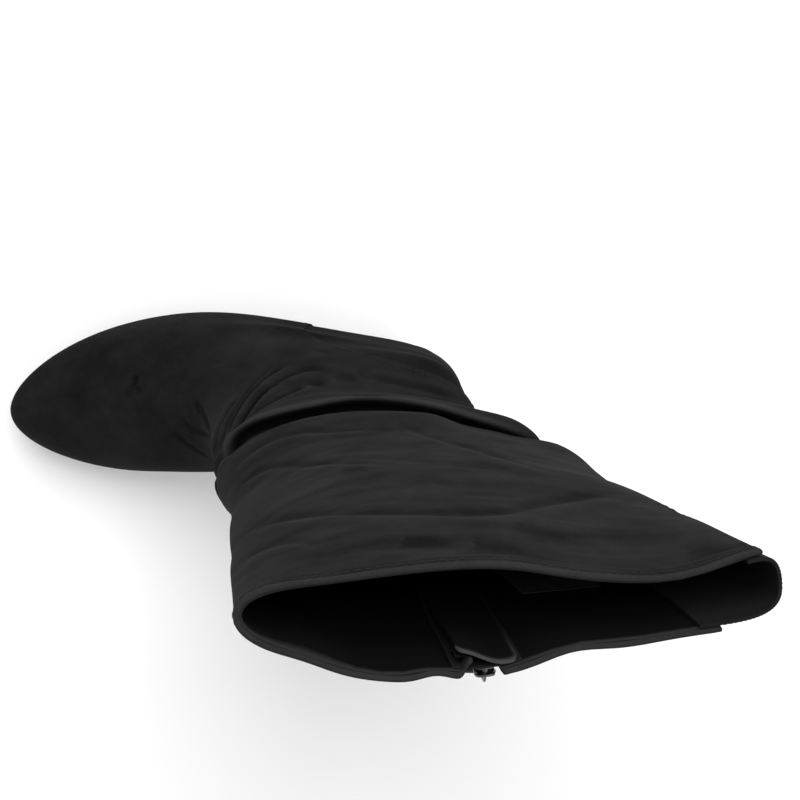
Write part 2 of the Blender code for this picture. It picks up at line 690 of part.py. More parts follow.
def build_sole(material):
    """The outsole, from the heel seat through the waist to the toe."""
    sides = sole_sides()
    tops = [side[:, 2] - SEAT_GAP for side in sides]
    bottoms = [top - SOLE_THICKNESS for top in tops]
    return slab("outsole", sides, bottoms, tops, material)


def build_insole(material):
    """The insole, on the outsole and inside the wall."""
    places = sole_sides()[0][:, 0]
    sides = outline(*side_turns(), -(WALL + HEEL_STIFFENING + INSOLE_CLEARANCE), places)
    bottoms = [sole_line(side[:, 0]).max(0) for side in sides]
    tops = [low + INSOLE_THICKNESS for low in bottoms]
    return slab("insole", sides, bottoms, tops, material)


# The heel's plan: the share of its length that is round, and how full the round is
HEEL_ROUND_SHARE = 0.62
HEEL_ROUND_POWER = 0.72
HEEL_ROUND_CELLS = 18

# Levels of the heel as shares of the way down, and how far each has gone in to the foot's size
HEEL_LEVELS = (0.0, 0.15, 0.35, 0.60, 0.80, 1.0)
HEEL_TAPER = (0.0, 0.30, 0.62, 0.85, 0.95, 1.0)


def heel_outline(length, width, back):
    """A heel's outline: a round back and straight sides to the breast, from the outer breast corner."""
    half = width / 2
    arc = np.linspace(0, math.pi, HEEL_ROUND_CELLS + 1)
    round_x = np.abs(np.sin(arc)) ** HEEL_ROUND_POWER
    round_y = np.sign(np.cos(arc)) * np.abs(np.cos(arc)) ** HEEL_ROUND_POWER
    depth = length * HEEL_ROUND_SHARE
    x = back + depth * (1 - round_x)
    y = -half * round_y
    straight = np.linspace(back + length, back + depth, 4)[:-1]
    outer = np.stack([straight, np.full(3, -half)], 1)
    inner = outer[::-1] * np.array([1, -1])
    return np.concatenate([outer, np.stack([x, y], 1), inner])


def seat_outline():
    """The outline of the heel's top, inside the outsole's edge."""
    turns = np.linspace(0, math.pi, OUTLINE_POINTS)
    outer, inner = outline(turns, turns, SOLE_MARGIN - HEEL_INSET)
    width = []
    for side in (outer, inner):
        within = side[:, 0] < HEEL_LENGTH
        width.append(np.abs(side[within, 1]).max())
    return width


def build_heel(material, lift_material):
    """The covered block heel, and the top lift under it."""
    outer_half, inner_half = seat_outline()
    centre_top = (inner_half - outer_half) / 2
    top = heel_outline(HEEL_LENGTH, outer_half + inner_half, FOOT_SECTIONS[0].back * FOOT_LENGTH)
    top[:, 1] += centre_top
    foot_back = ORIGIN_FROM_BACK - HEEL_FOOT_LENGTH / 2
    foot = heel_outline(HEEL_FOOT_LENGTH, HEEL_FOOT_WIDTH, foot_back)
    seat = sole_line(top[:, 0]).min(0) - SEAT_GAP - SOLE_THICKNESS - GAP
    low = TOP_LIFT_THICKNESS + GAP
    points, faces = [], []
    for level, taper in zip(HEEL_LEVELS, HEEL_TAPER):
        ring = top + taper * (foot - top)
        height = seat + level * (low - seat)
        points.append(np.column_stack([ring, height]))
    points = np.concatenate(points)
    count = len(top)
    for n in range(len(HEEL_LEVELS) - 1):
        for i in range(count):
            k = (i + 1) % count
            a, b = n * count, (n + 1) * count
            faces.append([a + k, b + k, b + i, a + i])
    half = count // 2
    last = (len(HEEL_LEVELS) - 1) * count
    for i in range(half):
        k = count - 1 - i
        if k - 1 > i + 1:
            faces.append([k, k - 1, i + 1, i])
            faces.append([last + i, last + i + 1, last + k - 1, last + k])
        else:
            faces.append([k, i + 1, i])
            faces.append([last + i, last + i + 1, last + k])
    heel = finish_object("heel_block", points, faces, material, 50)
    ring = foot.copy()
    lift = np.concatenate(
        [np.column_stack([ring, np.full(count, h)]) for h in (TOP_LIFT_THICKNESS, 0.0)]
    )
    lift_faces = [[(i + 1) % count, count + (i + 1) % count, count + i, i] for i in range(count)]
    lift_faces.append(list(range(count - 1, -1, -1)))
    lift_faces.append(list(range(count, 2 * count)))
    finish_object("top_lift", lift, lift_faces, lift_material, 50)
    return heel


def block(size, centre):
    """Points and faces of a box with its sides along the axes."""
    made = bmesh.new()
    bmesh.ops.create_cube(made, size=1.0)
    bmesh.ops.scale(made, vec=Vector(size), verts=made.verts)
    bmesh.ops.translate(made, vec=Vector(centre), verts=made.verts)
    return made


def rod(radius, length, centre, axis, sides=12):
    """A round bar along Y or X."""
    made = bmesh.new()
    bmesh.ops.create_cone(
        made, cap_ends=True, segments=sides, radius1=radius, radius2=radius, depth=length
    )
    turn = Matrix.Rotation(math.pi / 2, 4, "X" if axis == "Y" else "Y")
    bmesh.ops.transform(made, matrix=Matrix.Translation(centre) @ turn, verts=made.verts)
    return made


def joined(name, shapes, place, material):
    """One object from overlapping shapes, united, rounded a little and set at a place."""
    base = None
    helpers = []
    for n, shape in enumerate(shapes):
        mesh = bpy.data.meshes.new(f"{name}_{n}")
        shape.to_mesh(mesh)
        shape.free()
        item = bpy.data.objects.new(name if n == 0 else f"{name}_{n}", mesh)
        bpy.context.scene.collection.objects.link(item)
        if n == 0:
            base = item
            mesh.materials.append(material)
        else:
            item.hide_render = True
            item.display_type = "WIRE"
            helpers.append(item)
            union = base.modifiers.new(f"with_{n}", "BOOLEAN")
            union.operation = "UNION"
            union.object = item
    for item in [base] + helpers:
        item.matrix_world = place
    return base


def slider_place():
    """Where the zip's slider sits: a frame with X along the wall's outward side, Y across, Z up the zip."""
    rise = 1 - RISE_PER_METRE * (SLIDER_BELOW_RIM + SLIDER_LENGTH / 2)
    turn = zip_turn(rise)
    at = wall(turn, rise)
    up = Vector(wall(turn, rise + SLIDER_REACH) - wall(turn, rise - SLIDER_REACH)).normalized()
    out = Vector(outward(turn, rise))
    out = (out - out.dot(up) * up).normalized()
    across = up.cross(out)
    frame = Matrix((out, across, up)).transposed().to_4x4()
    return Matrix.Translation(Vector(own_frame(at))) @ frame


def build_slider(metal):
    """The zip's slider with its bridge, and the pull that hangs from the bridge on its own pin."""
    place = slider_place()
    tape_face = -WALL - GAP
    inner_face = tape_face + GAP
    plate_low = GAP
    plate_top = plate_low + SLIDER_PLATE
    body = block(
        (plate_top - inner_face, SLIDER_BODY_WIDTH, SLIDER_BODY_LENGTH),
        ((plate_top + inner_face) / 2, 0, 0),
    )
    plate = block((SLIDER_PLATE, SLIDER_WIDTH, SLIDER_LENGTH), ((plate_low + plate_top) / 2, 0, 0))
    under = block((UNDER_PLATE, SLIDER_WIDTH, SLIDER_LENGTH), (inner_face + UNDER_PLATE / 2, 0, 0))
    gap = PULL_PIN_RADIUS + GAP
    pin_out = plate_top + gap
    bar = BRIDGE_BAR
    bridge_top = pin_out + gap + bar
    legs = []
    for side in (-1, 1):
        centre = side * (BRIDGE_LENGTH / 2 - bar / 2)
        low = plate_top - GAP
        legs.append(block((bridge_top - low, BRIDGE_WIDTH, bar), ((bridge_top + low) / 2, 0, centre)))
    roof = block((bar, BRIDGE_WIDTH, BRIDGE_LENGTH), (bridge_top - bar / 2, 0, 0))
    joined("zip_slider", [plate, body, under, *legs, roof], place, metal)

    arm = PULL_ARM
    inner_half = BRIDGE_WIDTH / 2 + GAP
    pin = rod(PULL_PIN_RADIUS, 2 * inner_half + arm, (0, 0, 0), "Y")
    arms = []
    reach = math.hypot(BRIDGE_LENGTH / 2, bridge_top - pin_out)
    tab_top = -reach - 1.5 * GAP
    arm_length = -tab_top + 2 * GAP
    for side in (-1, 1):
        arms.append(
            block(
                (PULL_THICKNESS, arm, arm_length),
                (0, side * (inner_half + arm / 2), GAP - arm_length / 2),
            )
        )
    tab_length = PULL_LENGTH + tab_top
    tab = block((PULL_THICKNESS, PULL_WIDTH, tab_length), (0, 0, tab_top - tab_length / 2))
    foot_rod = rod(PULL_WIDTH / 2, PULL_THICKNESS, (0, 0, tab_top - tab_length), "X", 16)
    pull_place = place @ Matrix.Translation((pin_out, 0, 0))
    return joined("zip_pull", [tab, pin, *arms, foot_rod], pull_place, metal)


def main():
    """Clears the scene and builds the boot."""
    for item in list(bpy.data.objects):
        bpy.data.objects.remove(item)
    suede = new_material("suede", (0.030, 0.030, 0.031), 0.95)
    elastic = new_material("elastic", (0.018, 0.018, 0.019), 0.85)
    lining = new_material("lining", (0.022, 0.022, 0.023), 0.80)
    rubber = new_material("rubber", (0.020, 0.020, 0.020), 0.70)
    tape = new_material("tape", (0.016, 0.016, 0.017), 0.85)
    coil = new_material("coil", (0.020, 0.020, 0.021), 0.45)
    metal = new_material("metal", (0.060, 0.060, 0.062), 0.35, 1.0)
    build_upper(suede)
    build_counter(suede)
    build_gore(elastic)
    build_zip(tape, coil, lining)
    build_slider(metal)
    build_sole(rubber)
    build_insole(lining)
    build_heel(suede, rubber)


main()
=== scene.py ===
"""Looks of a slouch boot in black suede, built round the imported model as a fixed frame.

Metres, +Z up, +X to the toe and +Y to the inner side of the leg, as in the frame. The boot's wall is one
surface with two coordinates: the turn, an angle round the leg that is 0 at the back and half a circle at
the front, negative on the outer side, and the rise, from 0 at the sole to 1 at the collar. Every piece of
the upper is cut from that surface, at its own depth under or over the suede's face.
"""

import logging
import math
from dataclasses import dataclass, field
from enum import Enum
from typing import Iterable, Sequence

import bpy
import numpy as np
from mathutils import Matrix, Vector


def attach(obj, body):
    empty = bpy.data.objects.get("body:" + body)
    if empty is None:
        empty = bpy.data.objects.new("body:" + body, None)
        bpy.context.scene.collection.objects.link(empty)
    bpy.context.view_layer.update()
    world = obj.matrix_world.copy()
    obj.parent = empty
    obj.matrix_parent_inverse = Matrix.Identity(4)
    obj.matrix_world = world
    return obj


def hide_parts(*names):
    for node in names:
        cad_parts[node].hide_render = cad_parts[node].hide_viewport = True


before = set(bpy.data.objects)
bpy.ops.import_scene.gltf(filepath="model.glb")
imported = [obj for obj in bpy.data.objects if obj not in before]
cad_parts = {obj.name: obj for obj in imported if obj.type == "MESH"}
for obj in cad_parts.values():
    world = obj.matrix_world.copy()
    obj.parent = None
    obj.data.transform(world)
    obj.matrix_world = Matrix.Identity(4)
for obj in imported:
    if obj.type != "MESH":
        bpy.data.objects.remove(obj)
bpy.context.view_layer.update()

Array = np.ndarray
log = logging.getLogger("slouch_boot")
MM = 0.001


class Body(Enum):
    """The frame's bodies."""

    BOOT = "boot"
    PULL = "pull"


def spline(knots: Array, values: Array, query: Array) -> Array:
    """Natural cubic through values at knots, read at query. values may have columns.

    Args:
        knots: rising places of the values.
        values: one value, or one row of them, for each knot.
        query: places to read, in any shape.

    Returns:
        The values there, with the columns last.
    """
    knots = np.asarray(knots, float)
    values = np.asarray(values, float)
    query = np.asarray(query, float)
    count = len(knots)
    step = np.diff(knots)
    tail = (1,) * (values.ndim - 1)
    slope = np.diff(values, axis=0) / step.reshape((-1,) + tail)
    matrix = np.eye(count)
    right = np.zeros_like(values)
    for i in range(1, count - 1):
        matrix[i, i - 1 : i + 2] = step[i - 1], 2 * (step[i - 1] + step[i]), step[i]
        right[i] = 6 * (slope[i] - slope[i - 1])
    bend = np.linalg.solve(matrix, right.reshape(count, -1)).reshape(values.shape)
    at = np.clip(np.searchsorted(knots, query) - 1, 0, count - 2)
    along = (query - knots[at]).reshape(query.shape + tail)
    width = step[at].reshape(along.shape)
    return (
        values[at]
        + along * (slope[at] - width * (2 * bend[at] + bend[at + 1]) / 6)
        + along**2 * bend[at] / 2
        + along**3 * (bend[at + 1] - bend[at]) / (6 * width)
    )


def smooth(value: Array, low: float, high: float) -> Array:
    """0 below low and 1 above high, with a smooth S between."""
    t = np.clip((value - low) / (high - low), 0, 1)
    return t**3 * (10 - 15 * t + 6 * t * t)


def bell(value: Array, width: float) -> Array:
    """1 at 0, falling off as exp(-(value / width) squared)."""
    return np.exp(-((value / width) ** 2))


def unit(vectors: Array) -> Array:
    """The vectors at length 1."""
    return vectors / np.maximum(np.linalg.norm(vectors, axis=-1, keepdims=True), 1e-12)


def signed_power(value: Array, power: float) -> Array:
    """A power of the value's size that keeps its sign."""
    return np.sign(value) * np.abs(value) ** power


def lengths(points: Array) -> Array:
    """How far along a line each of its points lies."""
    return np.append(0, np.cumsum(np.linalg.norm(np.diff(points, axis=0), axis=1)))


def read_line(way: Array, values: Array, at: Array) -> Array:
    """Rows of three values that stand at lengths along a line, read at other lengths."""
    return np.stack([np.interp(at, way, values[:, i]) for i in range(3)], 1)


def steps(*stops: float) -> Array:
    """Values from (first, cells, second, cells, third ...), evenly spaced between each two."""
    values = [stops[0]]
    for cells, end in zip(stops[1::2], stops[2::2]):
        values += list(np.linspace(values[-1], end, int(cells) + 1)[1:])
    return np.array(values)


@dataclass(frozen=True)
class Section:
    """One closed line round the boot, as shares of the sizes that its table names."""

    name: str
    back: float
    front: float
    back_rise: float
    front_rise: float
    centre_back: float
    centre_front: float
    follow: float
    zip_share: float
    outer: tuple[float, ...]
    inner: tuple[float, ...]


@dataclass(frozen=True)
class Fold:
    """A fold right round the leg. Its four values stand at the back, outer side, front and inner side."""

    name: str
    heights: tuple[float, float, float, float]
    depths: tuple[float, float, float, float]
    half_width: float
    roll: float
    roll_width: float
    droop: float


@dataclass(frozen=True)
class Crease:
    """A crease laid on the wall, as a soft trough or ridge along a path.

    Attributes:
        name: what it is.
        path: points as (turn in degrees, height above the floor in millimetres).
        depth: how deep the trough is in millimetres; a ridge has a negative depth.
        width: distance in millimetres at which the trough has fallen to about a third.
        above: height of the lip above the trough, as a share of the depth.
        below: height of the lip below the trough, as a share of the depth.
        droop: how far the lip above hangs over the trough, in millimetres.
        sink: how far the trough's floor drops into a pocket, in millimetres.
        lift: how far the lip below stands up beside the trough, in millimetres.
        tone: how much lighter the colour is painted along it; a negative tone along a crease is painted
            shade in its trough, and a patch has a tone and no depth.
        nap: how much of its depth is painted into the colour: painted shade in the trough, and lighter
            worn nap with painted light on the lips; none for a broad form.
        skin_only: leaves what lies behind the suede where it is.
        ends: shares of the path over which the crease fades in and out; 0 keeps it whole to the end.
    """

    name: str
    path: tuple[tuple[float, float], ...]
    depth: float
    width: float
    above: float = 0.3
    below: float = 0.3
    droop: float = 0.0
    sink: float = 0.0
    lift: float = 0.0
    ends: tuple[float, float] = (0.25, 0.25)
    tone: float = 0.0
    nap: float = 1.0
    skin_only: bool = False

    def fade(self, share: Array) -> Array:
        """How strong the crease is at shares of its path."""
        start, end = (max(share_of, 1e-6) for share_of in self.ends)
        return smooth(share, 0, start) * (1 - smooth(share, 1 - end, 1 + 1e-6))

    def moves(self, side: Array, behind: bool) -> tuple[Array, Array]:
        """How far the wall moves out and down at distances across the path, all in millimetres.

        With w the width and s the distance above the path, the wall moves out by
        d (-bell(s / w) + above bell(s / w - 1.7) + below bell(s / w + 1.7)) and down by
        droop bell(s / (1.2 w) - 1) + sink bell(s / w) - lift bell(s / w + 1.7).

        Args:
            side: distances above the path.
            behind: asks for the smooth course of the lining, which never folds over.

        Returns:
            The two moves.
        """
        if behind:
            depth = 0.0 if self.skin_only else max(self.depth, 0.0)
            return -depth * bell(side, self.width + 3.0), 0.0 * side
        width = self.width
        upper, lower = bell(side - 1.7 * width, width), bell(side + 1.7 * width, width)
        out = self.depth * (self.above * upper + self.below * lower - bell(side, width))
        down = self.droop * bell(side - 1.2 * width, 1.2 * width)
        return out, down + self.sink * bell(side, width) - self.lift * lower


def broad(name: str, path: tuple[tuple[float, float], ...], depth: float, width: float,
          ends: tuple[float, float], skin_only: bool = False) -> Crease:
    """A broad dent, or a swelling where its depth is negative, with no lips and no painted shade or light."""
    return Crease(name, path, depth, width, above=0.0, below=0.0, ends=ends, nap=0.0, skin_only=skin_only)


def tone_patch(name: str, path: tuple[tuple[float, float], ...], width: float, tone: float,
           ends: tuple[float, float] = (0.0, 0.0)) -> Crease:
    """A stretch painted darker or lighter, with the wall left as it is."""
    return Crease(name, path, 0.0, width, ends=ends, tone=tone)


WIDTH_STATIONS = (0.05, 0.20, 0.50, 0.80, 0.95)

FOOT_SECTIONS = (
    Section("feather", 0.022, 0.994, 0.00, 0.00, -0.033, 0.088, 1.00, 0.380,
            (0.214, 0.330, 0.450, 0.422, 0.214), (0.220, 0.284, 0.302, 0.387, 0.215)),
    Section("wall", 0.012, 1.004, 0.23, 0.11, -0.033, 0.088, 0.90, 0.380,
            (0.258, 0.398, 0.535, 0.442, 0.220), (0.247, 0.327, 0.423, 0.402, 0.218)),
    Section("shoulder", 0.011, 0.990, 0.40, 0.225, -0.033, 0.088, 0.72, 0.385,
            (0.264, 0.392, 0.511, 0.407, 0.170), (0.253, 0.322, 0.412, 0.381, 0.187)),
    Section("toe top", 0.014, 0.936, 0.55, 0.335, -0.033, 0.082, 0.55, 0.390,
            (0.253, 0.374, 0.489, 0.363, 0.159), (0.247, 0.313, 0.407, 0.352, 0.170)),
    Section("vamp", 0.019, 0.820, 0.70, 0.457, -0.033, 0.066, 0.40, 0.395,
            (0.242, 0.352, 0.451, 0.363, 0.187), (0.231, 0.297, 0.385, 0.352, 0.187)),
    Section("instep", 0.026, 0.680, 0.83, 0.653, -0.022, 0.049, 0.25, 0.405,
            (0.231, 0.335, 0.407, 0.363, 0.203), (0.220, 0.291, 0.374, 0.352, 0.203)),
    Section("throat", 0.026, 0.572, 1.00, 1.00, 0.000, 0.044, 0.10, 0.420,
            (0.220, 0.313, 0.357, 0.319, 0.198), (0.220, 0.302, 0.352, 0.330, 0.198)),
)

SHAFT_SECTIONS = (
    Section("ankle", -0.265, 0.460, 0.055, 0.008, 0.100, 0.233, 0.0, 0.430,
            (0.190, 0.320, 0.430, 0.385, 0.170), (0.190, 0.330, 0.430, 0.343, 0.167)),
    Section("slouch", -0.400, 0.435, 0.195, 0.140, 0.240, 0.367, 0.0, 0.475,
            (0.120, 0.265, 0.400, 0.360, 0.180), (0.160, 0.340, 0.450, 0.360, 0.190)),
    Section("low calf", -0.500, 0.423, 0.442, 0.442, 0.340, 0.500, 0.0, 0.512,
            (0.115, 0.270, 0.430, 0.400, 0.190), (0.142, 0.300, 0.367, 0.300, 0.175)),
    Section("high calf", -0.582, 0.423, 0.721, 0.740, 0.417, 0.517, 0.0, 0.552,
            (0.138, 0.220, 0.350, 0.347, 0.178), (0.162, 0.263, 0.350, 0.303, 0.155)),
    Section("collar", -0.597, 0.418, 0.985, 1.010, 0.483, 0.475, 0.0, 0.561,
            (0.233, 0.117, 0.212, 0.200, 0.150), (0.183, 0.245, 0.388, 0.362, 0.185)),
)

FOLDS = (
    Fold("slouch", (0.500, 0.478, 0.462, 0.478), (0.65, 1.00, 0.95, 0.40), 0.50, 0.50, 1.30, 0.30),
    Fold("ankle", (0.425, 0.400, 0.412, 0.405), (0.20, 0.25, 0.50, 0.15), 0.75, 0.30, 1.10, 0.00),
    Fold("calf", (0.640, 0.655, 0.610, 0.640), (0.08, 0.10, 0.07, 0.06), 1.30, 0.40, 1.60, 0.00),
    Fold("high calf", (0.790, 0.800, 0.770, 0.790), (0.06, 0.07, 0.05, 0.05), 1.50, 0.40, 1.70, 0.00),
)

# Negative tones paint shade along the creases' troughs, darkest in the main fold; their depths also paint
# shade into the troughs.
CREASES = (
    Crease("main fold", ((-196, 176), (-176, 168), (-163, 158), (-151, 153), (-133, 154), (-112, 156),
           (-97, 157), (-82, 159), (-70, 161), (-58, 163.2), (-46, 165), (-32, 166.5), (-18, 167.5),
           (-2, 168), (14, 168.5), (30, 169)),
           2.4, 2.3, above=0.6, below=1.1, droop=1.5, sink=4.5, lift=5.0, ends=(0.14, 0.28), tone=-1.5),
    broad("shaft drawn in over the fold", ((-84, 177), (-74, 178), (-62, 180), (-48, 182),
          (-32, 184), (-20, 185)), 4.6, 12.0, (0.40, 0.45)),
    broad("roll at the back", ((-52, 155), (-36, 157), (-20, 159), (-6, 160), (8, 160), (24, 159),
          (38, 157)), -2.6, 7.0, (0.5, 0.5)),
    broad("roll, thinned at the side", ((-136, 148), (-120, 148), (-104, 148), (-88, 149), (-72, 151)),
          3.0, 5.0, (0.35, 0.35)),
    Crease("fan, along the seam", ((-160, 138), (-143, 130), (-133, 125), (-118, 118), (-107, 112),
           (-94, 108), (-80, 108)), 1.6, 1.2, above=1.0, below=0.0, ends=(0.12, 0.4), tone=-0.4),
    Crease("fan, first", ((-166, 139), (-153, 132), (-140, 125), (-125, 117), (-110, 109)),
           1.1, 1.1, above=0.9, below=0.0, ends=(0.12, 0.5)),
    Crease("fan, second", ((-162, 145), (-144, 137), (-131, 131), (-116, 126), (-98, 121), (-82, 117)),
           1.7, 1.3, above=1.0, below=0.0, ends=(0.12, 0.45), tone=-0.4),
    Crease("fan, third", ((-168, 152), (-148, 143), (-130, 138), (-112, 134), (-92, 130), (-68, 130)),
           1.5, 1.3, above=1.0, below=0.0, ends=(0.12, 0.5), tone=-0.3),
    Crease("fan, short", ((-178, 140), (-164, 131), (-150, 125), (-138, 121)), 0.8, 1.3,
           above=0.2, below=0.7),
    Crease("under the roll", ((-84, 128), (-68, 133), (-51, 136), (-31, 139)), 0.9, 2.2),
    Crease("shaft, lowest", ((-170, 178), (-162, 182), (-147, 180), (-127, 182), (-116, 188), (-98, 192)),
           0.7, 2.6, above=0.9, below=0.0),
    Crease("shaft, low", ((-176, 196), (-162, 198), (-142, 203), (-128, 222), (-116, 240), (-102, 252)),
           0.8, 3.2, above=0.8, below=0.0),
    Crease("shaft, slanting", ((-96, 184), (-89, 196), (-83, 210), (-72, 224), (-65, 240), (-57, 251)),
           0.7, 3.0, above=0.6, below=0.0),
    Crease("shaft, middle", ((-160, 222), (-131, 224), (-105, 240), (-82, 250), (-62, 246)), 0.5, 4.5),
    Crease("shaft, high", ((-166, 248), (-150, 268), (-127, 292), (-96, 303), (-76, 288), (-52, 268),
           (-30, 254)), 0.9, 3.6, above=0.9, below=0.1),
    Crease("shaft, front corner", ((-164, 300), (-153, 302), (-142, 306), (-130, 318)), 0.7, 3.0,
           above=0.8, below=0.0),
    Crease("under the collar", ((-130, 322), (-114, 327), (-99, 332)), 0.5, 4.0),
    # Patches painted darker on the shaft, and one painted lighter over the fold.
    tone_patch("smudge, front", ((-113, 324), (-106, 328)), 5.0, -1.5),
    tone_patch("smudge, middle", ((-98, 329), (-92, 331)), 5.0, -1.5),
    tone_patch("smudge, higher", ((-86, 310), (-76, 318)), 5.5, -1.1),
    tone_patch("smudge, back", ((-48, 328), (-38, 333)), 6.0, -1.1),
    tone_patch("smudge, low", ((-122, 246), (-106, 262)), 7.0, -0.9, (0.3, 0.3)),
    tone_patch("smudge, low back", ((-86, 236), (-64, 262)), 6.0, -1.1, (0.3, 0.3)),
    tone_patch("light over the fold", ((-160, 172), (-146, 166), (-130, 166), (-112, 170)), 4.0, 0.8,
           (0.3, 0.3)),
    broad("rim, front inner side", ((141, 288), (141, 318), (141, 345)), 3.4, 13.0, (0.7, 0.0)),
    broad("rim, in front of the zip", ((108, 300), (108, 322), (108, 345)), 2.2, 6.5, (0.7, 0.0)),
    broad("rim, turned in at the zip", ((100.5, 326), (100.5, 336), (100.5, 345)), 5.5, 2.2,
          (0.8, 0.0), skin_only=True),
    broad("rim, behind the zip", ((79, 288), (79, 318), (79, 345)), 3.2, 14.0, (0.7, 0.0)),
    Crease("vamp, outer limb", ((-170, 61), (-159, 61), (-149, 59)), 0.5, 1.2, tone=-0.6),
    Crease("vamp, inner limb", ((-149, 59), (-159, 62), (-167, 65)), 0.5, 1.2, tone=-0.6),
    Crease("vamp, across", ((-169, 94), (-177, 100)), 0.6, 1.6, tone=-0.8),
    Crease("instep, first", ((-174, 84), (-189, 94), (-181, 130)), 0.8, 1.8, tone=-0.4),
    Crease("instep, second", ((-166, 92), (-178, 112), (-180, 137)), 0.8, 1.8, tone=-0.4),
    Crease("instep, third", ((-191, 77), (-202, 84), (-213, 91)), 0.8, 1.8, tone=-0.4),
)


@dataclass
class Form:
    """The boot's wall. The sizes and tables are those of the part, so that looks and solids agree."""

    foot_length: float = 0.247
    ball_width: float = 0.091
    heel_height: float = 0.068
    toe_spring: float = 0.009
    instep_rise: float = 0.0865
    heel_cup_rise: float = 0.053
    boot_height: float = 0.345
    ankle_height: float = 0.130
    shaft_depth: float = 0.182
    shaft_flatness: float = 0.060
    ankle_middle: float = 0.20
    slouch_depth: float = 0.0100
    sole_thickness: float = 0.0040
    seat_gap: float = 0.0004
    seat_end: float = 0.20
    seat_slope: float = 0.10
    tread_start: float = 0.665
    tread_end: float = 0.785
    spring_power: float = 1.9
    origin_from_back: float = 0.030
    counter_height: float = 0.0625
    counter_outer_turn: float = 1.15
    counter_outer_lean: float = 0.36
    counter_inner_turn: float = 1.224
    counter_outer_corner: float = 0.27
    counter_inner_corner: float = 0.45
    corner_fade: float = 1.0
    gore_height: float = 0.078
    gore_outer_turn: float = 0.487
    gore_inner_turn: float = 0.737
    zip_foot_rise: float = 0.040
    zip_foot_share: float = 0.33
    zip_foot_turn: float = 1.37
    side_turn: float = 1.2
    collar_span: float = 0.050
    turn_step: float = 1e-4
    rows: Array = field(init=False, repr=False)
    rises: Array = field(init=False, repr=False)
    paths: list = field(init=False, repr=False)

    def __post_init__(self) -> None:
        """Works out the table of sizes, the rises and the lines that pieces share."""
        self.rows = self._section_rows()
        self.rises = self._section_rises()
        self.paths = []
        self.rise_per_metre = (
            1 - self.rise_at(self.side_turn, self.boot_height - self.collar_span)
        ) / self.collar_span
        back_seat = self.feather_height(self.rows[0, 0])
        self.counter_rise = self.rise_at(0.0, back_seat + self.counter_height)
        self.fold_start = self.rise_at(self.side_turn, 0.40 * self.boot_height)
        self.fold_end = self.rise_at(self.side_turn, 0.56 * self.boot_height)
        self.gore_rise = self.rise_at(0.0, self.boot_height - self.gore_height)
        zip_height = self.feather_height(self.zip_foot_share * self.foot_length) + self.zip_foot_rise
        zip_rise = self.rise_at(self.zip_foot_turn, zip_height)
        lines = np.append(0.0, steps(self.counter_rise, 4, self.fold_start, 14, self.fold_end))
        bent = self.bent_rise(self.zip_turn(zip_rise), lines)
        nearest = int(np.argmin(np.abs(bent - zip_rise)))
        self.zip_foot, self.zip_low = float(lines[nearest]), float(bent[nearest])

    def sole_underside(self, x: Array) -> Array:
        """Height of the outsole's underside at x in front of the heel's back."""
        share = np.asarray(x, float) / self.foot_length
        seat = 1 - self.seat_slope * np.clip(share / self.seat_end, 0, 1.5)
        arch = self.heel_height * seat * (1 - smooth(share, self.seat_end, self.tread_start))
        past = np.clip((share - self.tread_end) / (1 - self.tread_end), 0, 1.2)
        return arch + self.toe_spring * past**self.spring_power

    def feather_height(self, x: Array) -> Array:
        """Height of the upper's lower edge, just above the outsole."""
        return self.sole_underside(x) + self.sole_thickness + self.seat_gap

    def _section_rows(self) -> Array:
        """One row of real sizes for each section of the two tables."""
        made = []
        back_seat = self.feather_height(FOOT_SECTIONS[0].back * self.foot_length)
        toe_seat = self.feather_height(FOOT_SECTIONS[0].front * self.foot_length)
        for part in FOOT_SECTIONS:
            made.append(self._row(part, 0.0, self.foot_length, self.ball_width, self.ball_width,
                                  (back_seat, self.heel_cup_rise), (toe_seat, self.instep_rise)))
        leg = (self.ankle_height, self.boot_height - self.ankle_height)
        middle = self.ankle_middle * self.foot_length
        for part in SHAFT_SECTIONS:
            made.append(self._row(part, middle, self.shaft_depth, self.shaft_flatness,
                                  self.shaft_flatness, leg, leg))
        return np.array(made)

    @staticmethod
    def _row(part: Section, start: float, length: float, centre: float, width: float,
             back: tuple[float, float], front: tuple[float, float]) -> list[float]:
        """Real sizes of one section: places, heights, centres, follow, zip share and half widths."""
        places = [start + part.back * length, start + part.front * length]
        heights = [back[0] + part.back_rise * back[1], front[0] + part.front_rise * front[1]]
        centres = [part.centre_back * centre, part.centre_front * centre]
        widths = [share * width for share in part.outer + part.inner]
        return places + heights + centres + [part.follow, part.zip_share] + widths

    def _section_rises(self) -> Array:
        """The rise of each section, by the way between sections along back, front and both sides."""
        middle = (self.rows[:, 0:2].mean(1), self.rows[:, 2:4].mean(1))
        lines = [self.rows[:, [0, 2]], self.rows[:, [1, 3]]]
        for widths in (slice(8, 13), slice(13, 18)):
            lines.append(np.stack([*middle, self.rows[:, widths].max(1)], 1))
        way = sum(np.linalg.norm(np.diff(line, axis=0), axis=1) for line in lines)
        return np.concatenate([[0], np.cumsum(way)]) / way.sum()

